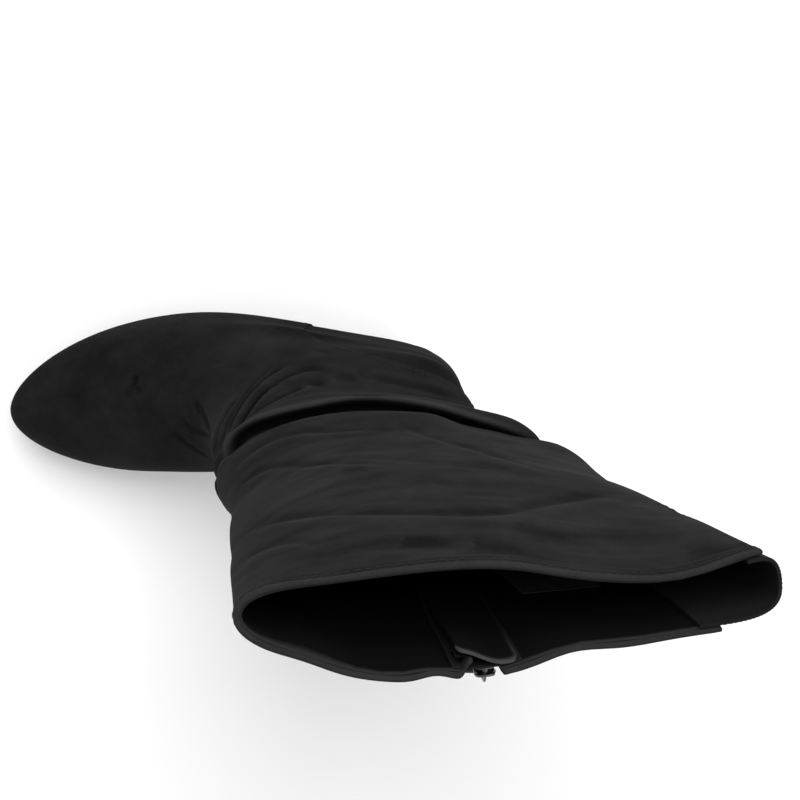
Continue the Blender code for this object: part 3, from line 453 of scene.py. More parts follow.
    def plain_wall(self, turn: Array, rise: Array) -> Array:
        """Points of the wall before any fold.

        Each section is a closed curve: x and height go from its back to its front point with the share
        (1 - cos turn) / 2, and y is the centre plus sin turn times a half width that a cubic through the
        section's stations gives for each side.

        Args:
            turn: angles round the leg.
            rise: rises, in a shape that goes with the turns.

        Returns:
            Points with x, y and z last, x from the heel's back.
        """
        turn, rise = np.broadcast_arrays(np.asarray(turn, float), np.asarray(rise, float))
        row = spline(self.rises, self.rows, rise)
        angle = np.arccos(np.clip(np.cos(turn), -1, 1))
        share = (1 - np.cos(angle)) / 2
        x = row[..., 0] + share * (row[..., 1] - row[..., 0])
        height = row[..., 2] + share * (row[..., 3] - row[..., 2])
        back, front = self.rows[0, 0], self.rows[0, 1]
        ends = self.feather_height(np.array([back, front]))
        line = ends[0] + share * (ends[1] - ends[0])
        height = height + row[..., 6] * (self.feather_height(back + share * (front - back)) - line)
        centre = row[..., 4] + share * (row[..., 5] - row[..., 4])
        stations = np.arccos(1 - 2 * np.array(WIDTH_STATIONS))
        weights = spline(stations, np.eye(len(stations)), angle) / np.sin(stations)
        outer = (row[..., 8:13] * weights).sum(-1)
        inner = (row[..., 13:18] * weights).sum(-1)
        y = centre + np.sin(turn) * np.where(np.sin(turn) < 0, outer, inner)
        return np.stack([x, y, height], -1)

    def folded_wall(self, turn: Array, rise: Array) -> Array:
        """Points of the wall with the folds that go right round the leg, x from the heel's back.

        A fold pushes the wall in by a bell of its height, out by two rolls beside it, and lets the roll
        above it droop."""
        turn, rise = np.broadcast_arrays(np.asarray(turn, float), np.asarray(rise, float))
        point = self.plain_wall(turn, rise)
        step = self.turn_step
        ahead = self.plain_wall(turn + step, rise) - self.plain_wall(turn - step, rise)
        outwards = unit(np.stack([-ahead[..., 1], ahead[..., 0]], -1))
        height = point[..., 2]
        push = np.zeros_like(height)
        drop = np.zeros_like(height)
        for fold in FOLDS:
            depth = self.slouch_depth * np.maximum(self._round_the_leg(fold.depths, turn), 0)
            away = height - self.boot_height * self._round_the_leg(fold.heights, turn)
            roll = self.slouch_depth * fold.roll_width
            push -= depth * bell(away, self.slouch_depth * fold.half_width)
            push += depth * fold.roll * bell(np.abs(away) - roll, roll)
            drop += depth * fold.droop * bell(away - roll / 2, roll)
        point[..., :2] += push[..., None] * outwards
        point[..., 2] -= drop
        return point

    @staticmethod
    def _round_the_leg(values: Sequence[float], turn: Array) -> Array:
        """A smooth value round the leg from its values at the back, outer side, front and inner side."""
        back, outer, front, inner = values
        mean = (back + outer + front + inner) / 4
        swing = (back - front) / 2 * np.cos(turn) - (outer - inner) / 2 * np.sin(turn)
        return mean + swing + (back - outer + front - inner) / 4 * np.cos(2 * turn)

    def normal(self, turn: Array, rise: Array) -> Array:
        """Unit normals of the folded wall, outwards. Along the lower edge they are level."""
        turn, rise = np.broadcast_arrays(np.asarray(turn, float), np.asarray(rise, float))
        step = self.turn_step
        around = self.folded_wall(turn + step, rise) - self.folded_wall(turn - step, rise)
        low, high = np.maximum(rise - step, 0), np.minimum(rise + step, 1)
        normal = np.cross(self.folded_wall(turn, high) - self.folded_wall(turn, low), around)
        normal[..., 2] *= smooth(rise, 0, self.rises[1] / 2)
        return unit(normal)

    def rise_at(self, turn: float, height: float) -> float:
        """The rise at which the plain wall reaches a height, at one turn."""
        rises = np.linspace(self.rises[1], 1, 400)
        return float(np.interp(height, self.plain_wall(turn, rises)[:, 2], rises))

    def zip_turn(self, rise: Array) -> Array:
        """The turn of the zip's middle line."""
        return np.arccos(1 - 2 * spline(self.rises, self.rows[:, 7], rise))

    def turn_of(self, width: float, turn: Array, rise: Array) -> Array:
        """How much turn a width takes along the wall at one place."""
        step = self.turn_step
        way = self.folded_wall(turn + step, rise) - self.folded_wall(turn - step, rise)
        return width * 2 * step / np.linalg.norm(way, axis=-1)

    def zip_line(self, width: float, rise: Array) -> Array:
        """Turns of a line along the zip, this far in front of its middle."""
        middle = self.zip_turn(rise)
        return middle + self.turn_of(width, middle, rise)

    def outer_edge(self, rise: Array) -> Array:
        """The turn of the counter's outer front edge, which leans forward from the sole up."""
        return self.counter_outer_turn + self.counter_outer_lean * np.clip(rise / self.counter_rise, 0, 1)

    def bent_rise(self, turn: Array, rise: Array) -> Array:
        """The rise on one of the upper's lines, which dip to the counter's front corners."""
        edge = np.where(turn < 0, self.outer_edge(rise), self.counter_inner_turn)
        corner = np.where(turn < 0, self.counter_outer_corner, self.counter_inner_corner)
        share = np.minimum(np.abs(turn) / edge, 1)
        past = smooth(np.abs(turn) - edge, 0, self.corner_fade)
        dip = corner * (1 - np.sqrt(1 - share**2)) * (1 - past)
        below = rise / self.counter_rise
        above = (self.fold_start - rise) / (self.fold_start - self.counter_rise)
        return rise - self.counter_rise * dip * np.clip(np.minimum(below, above), 0, 1)

    def lay_creases(self, creases: Iterable[Crease]) -> None:
        """Sets out each crease's path on the wall, in places about a millimetre apart."""
        for crease in creases:
            turns, heights = np.radians([p[0] for p in crease.path]), [p[1] * MM for p in crease.path]
            rises = []
            table = np.linspace(self.rises[1], 1, 400)
            for turn, height in zip(turns, heights):
                rises.append(np.interp(height, self.folded_wall(turn, table)[:, 2], table))
            knots = np.arange(len(turns))
            dense = np.linspace(0, len(turns) - 1, 24 * len(turns))
            turn, rise = spline(knots, turns, dense), spline(knots, rises, dense)
            points, normals = self.folded_wall(turn, rise), self.normal(turn, rise)
            way = lengths(points)
            across = unit(np.cross(normals, np.gradient(points, axis=0)))
            across *= np.where(across[:, 2:] < 0, -1, 1)
            self.paths.append((crease, points, across, way / way[-1]))

    def face(self, turn: Array, rise: Array, depth: float | Array = 0.0,
             behind: bool = False) -> tuple[Array, Array, Array]:
        """The suede's face with its creases, or a surface under it.

        Each crease moves the wall by its own law of the distance across its path, faded at its ends.

        Args:
            turn: angles round the leg.
            rise: rises.
            depth: how far under the face the points lie, positive inwards.
            behind: takes the creases as the lining does, smoothly and only inwards.

        Returns:
            Points in the boot's own frame, unit normals, and the colour's lightness: the relief in
            millimetres, positive on ridges, painted as shade in the troughs and as lighter nap with
            painted light on the lips, plus the creases' tones.
        """
        turn, rise = np.broadcast_arrays(np.asarray(turn, float), np.asarray(rise, float))
        points, normals = self.folded_wall(turn, rise), self.normal(turn, rise)
        push = np.zeros(turn.shape)
        drop = np.zeros(turn.shape)
        nap = np.zeros(turn.shape)
        for crease, path, across, share in self.paths:
            reach = 4.5 * crease.width * MM
            low, high = path.min(0) - reach, path.max(0) + reach
            near = np.all((points > low) & (points < high), axis=-1)
            place = points[near]
            if not len(place):
                continue
            apart = ((place[:, None] - path[None]) ** 2).sum(-1)
            at = apart.argmin(1)
            away = place - path[at]
            side = (away * across[at]).sum(-1) / MM
            beyond = np.sqrt(np.maximum(apart[np.arange(len(at)), at] / MM**2 - side**2, 0))
            fade = crease.fade(share[at]) * bell(beyond, 2 * crease.width)
            out, down = crease.moves(side, behind)
            push[near] += fade * out
            drop[near] += fade * down
            # Lightness for the colour: each trough is painted as shade and its lips lighter, worn nap with
            # painted light; a crease's negative tone is painted shade along it.
            nap[near] += fade * (crease.nap * out + crease.tone * bell(side, crease.width))
        points = points + (push * MM - depth)[..., None] * normals
        points[..., 2] -= drop * MM
        points[..., 0] -= self.origin_from_back
        return points, normals, nap


@dataclass
class Mesh:
    """Points and faces of a piece, with values for each point that its finish reads.

    Attributes:
        points: n by 3.
        quads: faces with four corners, m by 4.
        triangles: faces with three corners, k by 3.
        values: named numbers, one for each point.
        uv: n by 2 places in millimetres along and across the piece, if its pattern follows it.
    """

    points: Array
    quads: Array = field(default_factory=lambda: np.zeros((0, 4), int))
    triangles: Array = field(default_factory=lambda: np.zeros((0, 3), int))
    values: dict[str, Array] = field(default_factory=dict)
    uv: Array | None = None

    @staticmethod
    def grid(points: Array, wrap_u: bool = False, wrap_v: bool = False, keep: Array | None = None) -> "Mesh":
        """Quads over a grid of points, numbered with the second way running fastest.

        Args:
            points: u by v by 3.
            wrap_u: joins the last line to the first.
            wrap_v: joins the last column to the first.
            keep: which cells are there.

        Returns:
            The mesh, facing the way of (v ahead) x (u ahead).
        """
        across, along = points.shape[:2]
        number = np.arange(across * along).reshape(across, along)
        if wrap_u:
            number = np.vstack([number, number[:1]])
        if wrap_v:
            number = np.hstack([number, number[:, :1]])
        corners = (number[:-1, :-1], number[:-1, 1:], number[1:, 1:], number[1:, :-1])
        quads = np.stack(corners, -1)
        if keep is not None:
            quads = quads[keep]
        return Mesh(points.reshape(-1, 3), quads.reshape(-1, 4))

    def free_edges(self) -> Array:
        """Edges with one face, as pairs in that face's own order."""
        quads, tris = self.quads, self.triangles
        edges = [quads[:, [i, (i + 1) % 4]] for i in range(4)]
        edges += [tris[:, [i, (i + 1) % 3]] for i in range(3)]
        edges = np.concatenate(edges)
        key = np.sort(edges, 1) @ np.array([len(self.points), 1])
        _, first, count = np.unique(key, return_index=True, return_counts=True)
        return edges[first[count == 1]]

    def with_turned_edges(self, normals: Array, radius: Array, run: float, rows: int = 5) -> "Mesh":
        """Turns every free edge over in a half circle, and runs it back under the face.

        A point P of an edge, with the normal N and the way E off the sheet, gives the points
        P + r sin(a) E - r (1 - cos(a)) N for a from 0 to half a circle, and one more at -run E.

        Args:
            normals: unit normals of the points.
            radius: r for each point.
            run: length of the part that runs back.
            rows: points round the half circle.

        Returns:
            A new mesh with the turned edges.
        """
        free = self.free_edges()
        ends, index = np.unique(free, return_inverse=True)
        pair = index.reshape(free.shape)
        way = unit(self.points[free[:, 1]] - self.points[free[:, 0]])
        off = unit(np.cross(way, normals[free].mean(1)))
        out = np.zeros((len(ends), 3))
        np.add.at(out, pair[:, 0], off)
        np.add.at(out, pair[:, 1], off)
        out = unit(out)
        start, up, size = self.points[ends], normals[ends], radius[ends][:, None]
        layers = []
        for angle in np.linspace(0, math.pi, rows + 1)[1:]:
            layers.append(start + size * (math.sin(angle) * out + (math.cos(angle) - 1) * up))
        layers.append(layers[-1] - run * out)
        base, count = len(self.points), len(ends)
        quads = []
        low_a, low_b = free[:, 0], free[:, 1]
        for n in range(len(layers)):
            high_a, high_b = base + n * count + pair[:, 0], base + n * count + pair[:, 1]
            quads.append(np.stack([low_b, low_a, high_a, high_b], 1))
            low_a, low_b = high_a, high_b
        repeat = np.concatenate([np.arange(base)] + [ends] * len(layers))
        values = {name: value[repeat] for name, value in self.values.items()}
        uv = None if self.uv is None else self.uv[repeat]
        points = np.concatenate([self.points] + layers)
        return Mesh(points, np.concatenate([self.quads] + quads), self.triangles, values, uv)

    def closed_with(self, other: "Mesh") -> "Mesh":
        """A closed shell from this face and a like one under it, joined along every free edge."""
        base = len(self.points)
        free = self.free_edges()
        walls = np.stack([free[:, 1], free[:, 0], free[:, 0] + base, free[:, 1] + base], 1)
        quads = np.concatenate([self.quads, self.quads[:, ::-1] + base, walls])
        tris = np.concatenate([self.triangles, self.triangles[:, ::-1] + base])
        values = {k: np.concatenate([v, other.values[k]]) for k, v in self.values.items()}
        uv = None if self.uv is None else np.concatenate([self.uv, self.uv])
        return Mesh(np.concatenate([self.points, other.points]), quads, tris, values, uv)

    @staticmethod
    def joined(parts: Sequence["Mesh"]) -> "Mesh":
        """Several meshes as one, keeping the values that all of them have."""
        start = np.cumsum([0] + [len(part.points) for part in parts])
        quads = np.concatenate([part.quads + s for part, s in zip(parts, start)])
        tris = np.concatenate([part.triangles + s for part, s in zip(parts, start)])
        names = set.intersection(*(set(part.values) for part in parts))
        values = {name: np.concatenate([part.values[name] for part in parts]) for name in names}
        with_uv = all(part.uv is not None for part in parts)
        uv = np.concatenate([part.uv for part in parts]) if with_uv else None
        return Mesh(np.concatenate([part.points for part in parts]), quads, tris, values, uv)

    def placed(self, matrix: Matrix) -> "Mesh":
        """The mesh moved by a matrix."""
        turn, move = np.array(matrix.to_3x3()), np.array(matrix.translation)
        return Mesh(self.points @ turn.T + move, self.quads, self.triangles, self.values, self.uv)

    def build(self, name: str, material: bpy.types.Material, slot: str, body: Body = Body.BOOT,
              replaces: Sequence[str] = (), sharp: float | None = None) -> bpy.types.Object:
        """Makes the object at the origin, dresses it and lets it ride on its body.

        Args:
            name: the piece's name.
            material: its finish.
            slot: the name of a material slot; not used.
            body: the body it rides on.
            replaces: nodes of the frame that it stands for.
            sharp: angle in degrees above which an edge stays sharp, if any does.

        Returns:
            The new object.
        """
        mesh = bpy.data.meshes.new(name)
        mesh.from_pydata(self.points.tolist(), [], self.quads.tolist() + self.triangles.tolist())
        for label, value in self.values.items():
            layer = mesh.attributes.new(label, "FLOAT", "POINT")
            layer.data.foreach_set("value", np.asarray(value, np.float32))
        if self.uv is not None:
            corner = np.zeros(len(mesh.loops), int)
            mesh.loops.foreach_get("vertex_index", corner)
            layer = mesh.uv_layers.new(name="UVMap")
            layer.data.foreach_set("uv", self.uv[corner].astype(np.float32).ravel())
        mesh.shade_smooth()
        if sharp is not None:
            mesh.set_sharp_from_angle(angle=math.radians(sharp))
        mesh.materials.append(material)
        item = bpy.data.objects.new(name, mesh)
        bpy.context.scene.collection.objects.link(item)
        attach(item, body.value)
        if replaces:
            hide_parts(*replaces)
        log.info("%s: %d faces", name, len(mesh.polygons))
        return item


def capsule(sides: int = 6, rings: int = 4) -> Mesh:
    """A round bar along X with round ends, closed at its poles, inside the box from -1 to 1.

    Points are (sin b, cos b cos a, cos b sin a) for a round the bar and b from end to end."""
    bend = np.linspace(-math.pi / 2, math.pi / 2, rings + 2)[1:-1]
    turn = np.linspace(0, 2 * math.pi, sides, endpoint=False)
    b, a = np.meshgrid(bend, turn, indexing="ij")
    body = np.stack([np.sin(b), np.cos(b) * np.cos(a), np.cos(b) * np.sin(a)], -1)
    mesh = Mesh.grid(body, wrap_v=True)
    points = np.concatenate([mesh.points, [[-1, 0, 0], [1, 0, 0]]])
    last = (rings - 1) * sides
    here = np.arange(sides)
    ahead = (here + 1) % sides
    low, high = rings * sides, rings * sides + 1
    ends = [np.stack([ahead, here, np.full(sides, low)], 1)[:, ::-1][:, [0, 2, 1]]]
    ends.append(np.stack([here + last, ahead + last, np.full(sides, high)], 1))
    return Mesh(points, mesh.quads[:, ::-1], np.concatenate(ends))


def copies(template: Mesh, places: Array, axes: Array) -> Mesh:
    """Copies of a small mesh, each at its own place with its own three axes.

    Args:
        template: the mesh to repeat.
        places: n by 3 centres.
        axes: n by 3 by 3, with the copy's X, Y and Z as rows, whose lengths scale it.

    Returns:
        One mesh with all the copies.
    """
    count, size = len(places), len(template.points)
    points = places[:, None] + np.einsum("pi,nij->npj", template.points, axes)
    shift = np.arange(count)[:, None, None] * size
    quads = (template.quads[None] + shift).reshape(-1, 4)
    triangles = (template.triangles[None] + shift).reshape(-1, 3)
    return Mesh(points.reshape(-1, 3), quads, triangles)


@dataclass
class Upper:
    """Vamp and shaft: the suede skin with its turned edges, and the lining behind it.

    The skin's lines follow the counter's lapped seam, the zip's slot and the gore's cut-out, so that
    each edge is a line of points."""

    form: Form
    skin_thickness: float = 0.0011
    seam_thickness: float = 0.0005
    hem_height: float = 0.0075
    hem_swell: float = 0.00035
    turned_in: float = 0.0045
    # Width of the band at the collar's rim painted lighter: worn nap and a painted highlight on the folded
    # edge.
    rim_highlight_and_wear_width: float = 0.0012
    shaft_from: tuple[float, float] = (0.095, 0.150)
    slot_width: float = 0.0095
    tape_width: float = 0.024
    seam_turn: float = 0.12
    lining_depth: float = 0.0014
    lining_thickness: float = 0.0008
    tuck: float = 0.0009
    tuck_rise: float = 0.012
    counter_rails: tuple[int, int] = (1, 7)
    gore_rails: tuple[int, int] = (3, 5)
    slot_rails: tuple[int, int] = (9, 10)
    skin_cells: tuple[int, ...] = (110, 36, 3, 15, 18, 3, 10, 8, 9, 5, 9, 52)
    lining_cells: tuple[int, ...] = (24, 8, 1, 4, 4, 1, 3, 3, 3, 2, 3, 14)

    def rises(self, fine: bool) -> Array:
        """Rises of the skin's lines, closer together over the folds and at the edges."""
        form = self.form
        top = 1 - self.skin_thickness * form.rise_per_metre
        hem = 1 - self.hem_height * form.rise_per_metre
        if fine:
            return steps(0, 4, 0.008, 88, form.counter_rise, 12, form.fold_start, 98, form.fold_end,
                         60, form.gore_rise, 42, hem, 9, top)
        return steps(0, 20, form.counter_rise, 4, form.fold_start, 42, form.fold_end, 16,
                     form.gore_rise, 12, hem, 3, top)

    def turns(self, rises: Array, fine: bool, edge: float) -> Array:
        """Turns of the lines at each rise, from the front round the outer side to the front again."""
        form = self.form
        cells = self.skin_cells if fine else self.lining_cells
        level = [-math.pi, -form.outer_edge(rises), -form.gore_outer_turn - self.seam_turn,
                 -form.gore_outer_turn, 0.0, form.gore_inner_turn, form.gore_inner_turn + self.seam_turn,
                 form.counter_inner_turn]
        rails = [turn + 0 * rises for turn in level]
        for width in (-self.tape_width / 2, -self.slot_width / 2 - edge, self.slot_width / 2 + edge,
                      self.tape_width / 2):
            rails.append(form.zip_line(width, rises))
        rails.append(np.full(len(rises), math.pi))
        self.rail_at = np.concatenate([[0], np.cumsum(cells)])
        lines = [rails[0][None]]
        for low, high, count in zip(rails, rails[1:], cells):
            share = np.linspace(0, 1, count + 1)[1:, None]
            lines.append(low + share * (high - low))
        return np.concatenate(lines)[:-1]

    def between(self, rails: tuple[int, int]) -> slice:
        """The columns of cells between two of the lines that turns() lays out."""
        return slice(self.rail_at[rails[0]], self.rail_at[rails[1]])

    def sheet(self, depth: float, fine: bool, edge: float, counter_open: bool) -> tuple[Mesh, Array]:
        """The wall's face at a depth, cut out for the zip, the gore and, if asked, the counter.

        Args:
            depth: how far under the suede's face it lies.
            fine: the skin's close lines, or the lining's wider ones.
            edge: how far the slot's edges stand back for the turned edge.
            counter_open: leaves the counter's field out.

        Returns:
            The mesh with its relief, and the unit normals of its points.
        """
        form = self.form
        rises = self.rises(fine)
        turn = self.turns(rises, fine, edge)
        rise = form.bent_rise(turn, np.broadcast_to(rises, turn.shape))
        points, normals, relief = form.face(turn, rise, depth, not fine)
        from_rim = (1 - rise) / form.rise_per_metre
        swell = self.hem_swell * (1 - smooth(from_rim, 0.8 * self.hem_height, self.hem_height))
        tuck = self.tuck * (1 - smooth(rise, 0, self.tuck_rise)) ** 2
        points = points + ((swell if fine else 0) - tuck)[..., None] * normals
        middle = (rises[1:] + rises[:-1]) / 2
        keep = np.ones((len(turn), len(rises) - 1), bool)
        keep[self.between(self.gore_rails), middle > form.gore_rise] = False
        keep[self.between(self.slot_rails), middle > form.zip_foot] = False
        if counter_open:
            keep[self.between(self.counter_rails), middle < form.counter_rise] = False
        mesh = Mesh.grid(points, wrap_u=True, keep=keep)
        # A band along the collar's rim is painted lighter: worn nap and a painted highlight where the folded
        # edge catches the light.
        mesh.values = {"relief": relief.ravel(), "rub": bell(from_rim, self.rim_highlight_and_wear_width).ravel(),
                       "shaft": smooth(points[..., 2], *self.shaft_from).ravel()}
        return mesh, normals.reshape(-1, 3)

    def build(self, suede: bpy.types.Material, lining: bpy.types.Material) -> None:
        """Makes the skin and the lining."""
        skin, normals = self.sheet(0, True, self.skin_thickness, True)
        rises = self.rises(True)
        lines = len(skin.points) // len(rises)
        column, line = np.tile(np.arange(len(rises)), lines), np.repeat(np.arange(lines), len(rises))
        seam = self.between(self.counter_rails)
        lapped = (line >= seam.start) & (line <= seam.stop)
        lapped &= rises[column] <= self.form.counter_rise + 1e-9
        radius = np.where(lapped | (column == 0), self.seam_thickness, self.skin_thickness)
        skin = skin.with_turned_edges(normals, radius, self.turned_in)
        skin.build("upper_suede", suede, "suede", replaces=("upper",))
        outer, _ = self.sheet(self.lining_depth, False, 0.0, False)
        inner, _ = self.sheet(self.lining_depth + self.lining_thickness, False, 0.0, False)
        outer.closed_with(inner).build("upper_lining", lining, "lining")


@dataclass
class WallPiece:
    """A closed piece that lies along the wall between two depths, on a grid of turns and rises."""

    form: Form
    turns: Array
    rises: Array
    outer: float | Array
    inner: float | Array
    behind: bool = False

    def mesh(self) -> Mesh:
        """The closed shell, with places along and across it in millimetres."""
        face, _, relief = self.form.face(self.turns, self.rises, self.outer, self.behind)
        back = self.form.face(self.turns, self.rises, self.inner, self.behind)[0]
        made = []
        along = np.cumsum(np.linalg.norm(np.diff(face, axis=1, prepend=face[:, :1]), axis=-1), 1)
        across = np.cumsum(np.linalg.norm(np.diff(face, axis=0, prepend=face[:1]), axis=-1), 0)
        across -= across[len(across) // 2]
        for grid in (face, back):
            part = Mesh.grid(grid)
            part.values = {"relief": relief.ravel()}
            part.uv = np.stack([across.ravel(), along.ravel()], 1) / MM
            made.append(part)
        return made[0].closed_with(made[1])


@dataclass
class Label:
    """A blank woven label on the lining, on the inner side behind the zip."""

    form: Form
    low_turn: float = math.radians(60)
    high_turn: float = math.radians(79)
    low: float = 0.236
    high: float = 0.287
    slant: float = 0.006
    depth: float = 0.0023
    thickness: float = 0.0004
    belly: float = 0.0006
    bound: float = 0.02
    grid_lines: tuple[int, int] = (40, 50)

    def build(self, cloth: bpy.types.Material) -> None:
        """Makes the label, whose upper edge slants down towards the zip."""
        form = self.form
        across, along = (np.linspace(0, 1, count) for count in self.grid_lines)
        turns = np.linspace(self.low_turn, self.high_turn, len(across))
        tops = self.high + self.slant * np.linspace(0.5, -0.5, len(across))
        ends = [(form.rise_at(turn, self.low), form.rise_at(turn, top)) for turn, top in zip(turns, tops)]
        rises = np.array([low + along * (high - low) for low, high in ends])
        grid = np.broadcast_to(turns[:, None], rises.shape)
        outer = self.depth + self.belly * (np.sin(np.pi * along) * np.sin(np.pi * across)[:, None])
        mesh = WallPiece(form, grid, rises, outer, outer + self.thickness, True).mesh()
        rim = np.maximum(bell(along - 1, self.bound), bell(across, self.bound)[:, None])
        mesh.values["rub"] = np.tile(rim.ravel(), 2)
        mesh.build("label_blank", cloth, "lining", sharp=60)


@dataclass
class Stitching:
    """Rows of thread stitches laid on the suede.

    Each stitch is a round-ended bar whose ends dip into the suede."""

    form: Form
    length: float = 0.0024
    gap: float = 0.0010
    thread: float = 0.00024
    below_rim: float = 0.0032
    rim_lift: float = 0.0005
    beside_slot: float = 0.0026
    beside_gore: float = 0.035
    beside_seam: float = 0.0022

    def row(self, turns: Array, rises: Array, lift: float = 0.00012) -> Mesh:
        """Stitches along a line on the wall.

        The line's points are joined by length, and a stitch stands at each pitch along it.

        Args:
            turns: turns of the line's points, close together.
            rises: their rises.
            lift: height of a stitch's middle over the suede's face.

        Returns:
            One mesh with all the stitches of the row.
        """
        points, normals, _ = self.form.face(turns, rises, -lift)
        way = lengths(points)
        pitch = self.length + self.gap
        count = max(int(way[-1] / pitch), 1)
        middle = (np.arange(count) + 0.5) * way[-1] / count
        at = [read_line(way, points, middle + shift) for shift in (-self.length / 2, 0, self.length / 2)]
        up = unit(read_line(way, normals, middle))
        ahead = unit(at[2] - at[0])
        side = unit(np.cross(up, ahead))
        up = np.cross(ahead, side)
        half = self.thread / 2 * 1.25
        axes = np.stack([ahead * self.length / 2, side * half * 1.2, up * half], 1)
        return copies(capsule(), at[1], axes)

    def sew(self, slot_width: float, thread: bpy.types.Material) -> None:
        """Lays the rows along the collar, the zip's slot, the gore's edges and the counter's lapped seam."""
        form = self.form
        per_metre = form.rise_per_metre
        rim = 1 - self.below_rim * per_metre
        gore_low = -form.gore_outer_turn - self.beside_gore
        gore_high = form.gore_inner_turn + self.beside_gore
        zip_edge = slot_width / 2 + self.beside_slot
        front, back = (form.zip_line(width, np.array([rim]))[0] for width in (zip_edge, -zip_edge))
        rows = []
        for start, end, count in ((front, 2 * math.pi + gore_low, 500), (gore_high, back, 120)):
            rows.append(self.row(np.linspace(start, end, count), np.full(count, rim), self.rim_lift))
        for width in (-zip_edge, zip_edge):
            rises = np.linspace(form.zip_low + 0.004 * per_metre, rim, 400)
            rows.append(self.row(form.zip_line(width, rises), rises))
        for turn in (gore_low, gore_high):
            rises = np.linspace(form.gore_rise - 0.002, rim, 160)
            rows.append(self.row(np.full(160, turn), rises))
        turn = np.linspace(gore_low, gore_high, 160)
        rows.append(self.row(turn, np.full(160, form.gore_rise - self.beside_seam * per_metre)))
        turn = np.linspace(-form.outer_edge(1.0), form.counter_inner_turn, 600)
        rise = form.bent_rise(turn, np.full(600, form.counter_rise)) + self.beside_seam * per_metre
        rows.append(self.row(turn, rise))
        rises = np.linspace(0.02, form.counter_rise, 300)
        for edge, way in ((-form.outer_edge(rises), -1), (form.counter_inner_turn, 1)):
            turn = edge + way * form.turn_of(self.beside_seam, edge, rises)
            rows.append(self.row(turn, form.bent_rise(turn, rises)))
        Mesh.joined(rows).build("stitches", thread, "suede")


@dataclass
class Counter:
    """The heel counter, in the step of the wall, with the shaft lapped over its upper edge."""

    form: Form
    depth: float = 0.0009
    thickness: float = 0.0009
    under_lap: float = 0.012
    side_lap: float = 0.03
    columns: int = 120

    def build(self, suede: bpy.types.Material) -> None:
        """Makes the counter, which runs on a little under the lapped edge."""
        form = self.form
        rises = steps(0.0006, 3, 0.008, 76, form.counter_rise + self.under_lap)
        share = np.linspace(0, 1, self.columns)[:, None]
        low, high = -form.outer_edge(rises) - self.side_lap, form.counter_inner_turn + self.side_lap
        turns = low + share * (high - low)
        rise = form.bent_rise(turns, np.broadcast_to(rises, turns.shape))
        mesh = WallPiece(form, turns, rise, self.depth, self.depth + self.thickness).mesh()
        mesh.values["rub"] = np.zeros(len(mesh.points))
        mesh.build("counter_suede", suede, "suede", replaces=("counter",), sharp=50)


@dataclass
class Gore:
    """The ribbed elastic gore at the back of the collar.

    Its face stands out in round ribs that run up the leg: height h * |cos(pi x / pitch)| at x across."""

    form: Form
    depth: float = 0.0025
    thickness: float = 0.0012
    rib_pitch: float = 0.0014
    rib_height: float = 0.00018
    seam: float = 0.010
    side_seam: float = 0.11
    measured_at: float = 0.92
    points_per_rib: int = 6

    def build(self, elastic: bpy.types.Material) -> None:
        """Makes the gore with its ribs."""
        form = self.form
        rises = steps(form.gore_rise - self.seam * form.rise_per_metre, 60, 1.0)
        low, high = -form.gore_outer_turn - self.side_seam, form.gore_inner_turn + self.side_seam
        width = lengths(form.face(np.linspace(low, high, 200), self.measured_at)[0])[-1]
        count = int(width / self.rib_pitch) * self.points_per_rib + 1
        turn = np.broadcast_to(np.linspace(low, high, count)[:, None], (count, len(rises)))
        rise = np.broadcast_to(rises, turn.shape)
        wave = np.abs(np.cos(np.pi * np.arange(count) / self.points_per_rib))[:, None]
        outer = self.depth - self.rib_height * wave
        mesh = WallPiece(form, turn, rise, outer, self.depth + self.thickness).mesh()
        mesh.build("gore_elastic", elastic, "elastic", replaces=("back_gore",), sharp=50)


def rounded_ring(half_x: Array, half_y: Array, power: float, count: int) -> Array:
    """A flat closed curve (a |cos t|^p, b |sin t|^p) with the signs of cos and sin, count points by 2."""
    t = np.linspace(0, 2 * math.pi, count, endpoint=False)
    return np.stack([signed_power(np.cos(t), power) * half_x, signed_power(np.sin(t), power) * half_y], 1)


def pillow(half: Sequence[float], centre: Sequence[float], round_plan: float = 0.35,
           round_side: float = 0.45, taper: float = 0.0) -> Mesh:
    """A rounded block: x a|sin b|, with y and z on a rounded ring that shrinks as |cos b| to a power.

    Args:
        half: half sizes along x, y and z.
        centre: its middle.
        round_plan: power of the ring; smaller is squarer.
        round_side: power of the side; smaller is squarer.
        taper: share by which y narrows towards low z.

    Returns:
        The closed block.
    """
    bend = np.linspace(-math.pi / 2, math.pi / 2, 15)[1:-1]
    ring = rounded_ring(half[2], half[1], round_plan, 32)
    x = half[0] * signed_power(np.sin(bend), round_side)
    size = np.abs(np.cos(bend)) ** round_side
    z = size[:, None] * ring[:, 0]
    narrow = 1 - taper * (0.5 - z / (2 * half[2]))
    y = size[:, None] * ring[:, 1] * narrow
    grid = np.stack([np.broadcast_to(x[:, None], y.shape), y, z], -1) + np.array(centre)
    return capped(Mesh.grid(grid, wrap_v=True), len(bend), 32)


def capped(mesh: Mesh, rings: int, sides: int) -> Mesh:
    """Closes both ends of a tube of rings with a point in the middle of each end ring."""
    count = len(mesh.points)
    here = np.arange(sides)
    ahead = (here + 1) % sides
    last = (rings - 1) * sides
    ends = [mesh.points[:sides].mean(0), mesh.points[last:].mean(0)]
    first = np.stack([here, ahead, np.full(sides, count)], 1)
    second = np.stack([ahead + last, here + last, np.full(sides, count + 1)], 1)
    values = {k: np.append(v, [v[0], v[-1]]) for k, v in mesh.values.items()}
    points = np.concatenate([mesh.points, ends])
    return Mesh(points, mesh.quads[:, ::-1], np.concatenate([first, second])[:, ::-1], values)


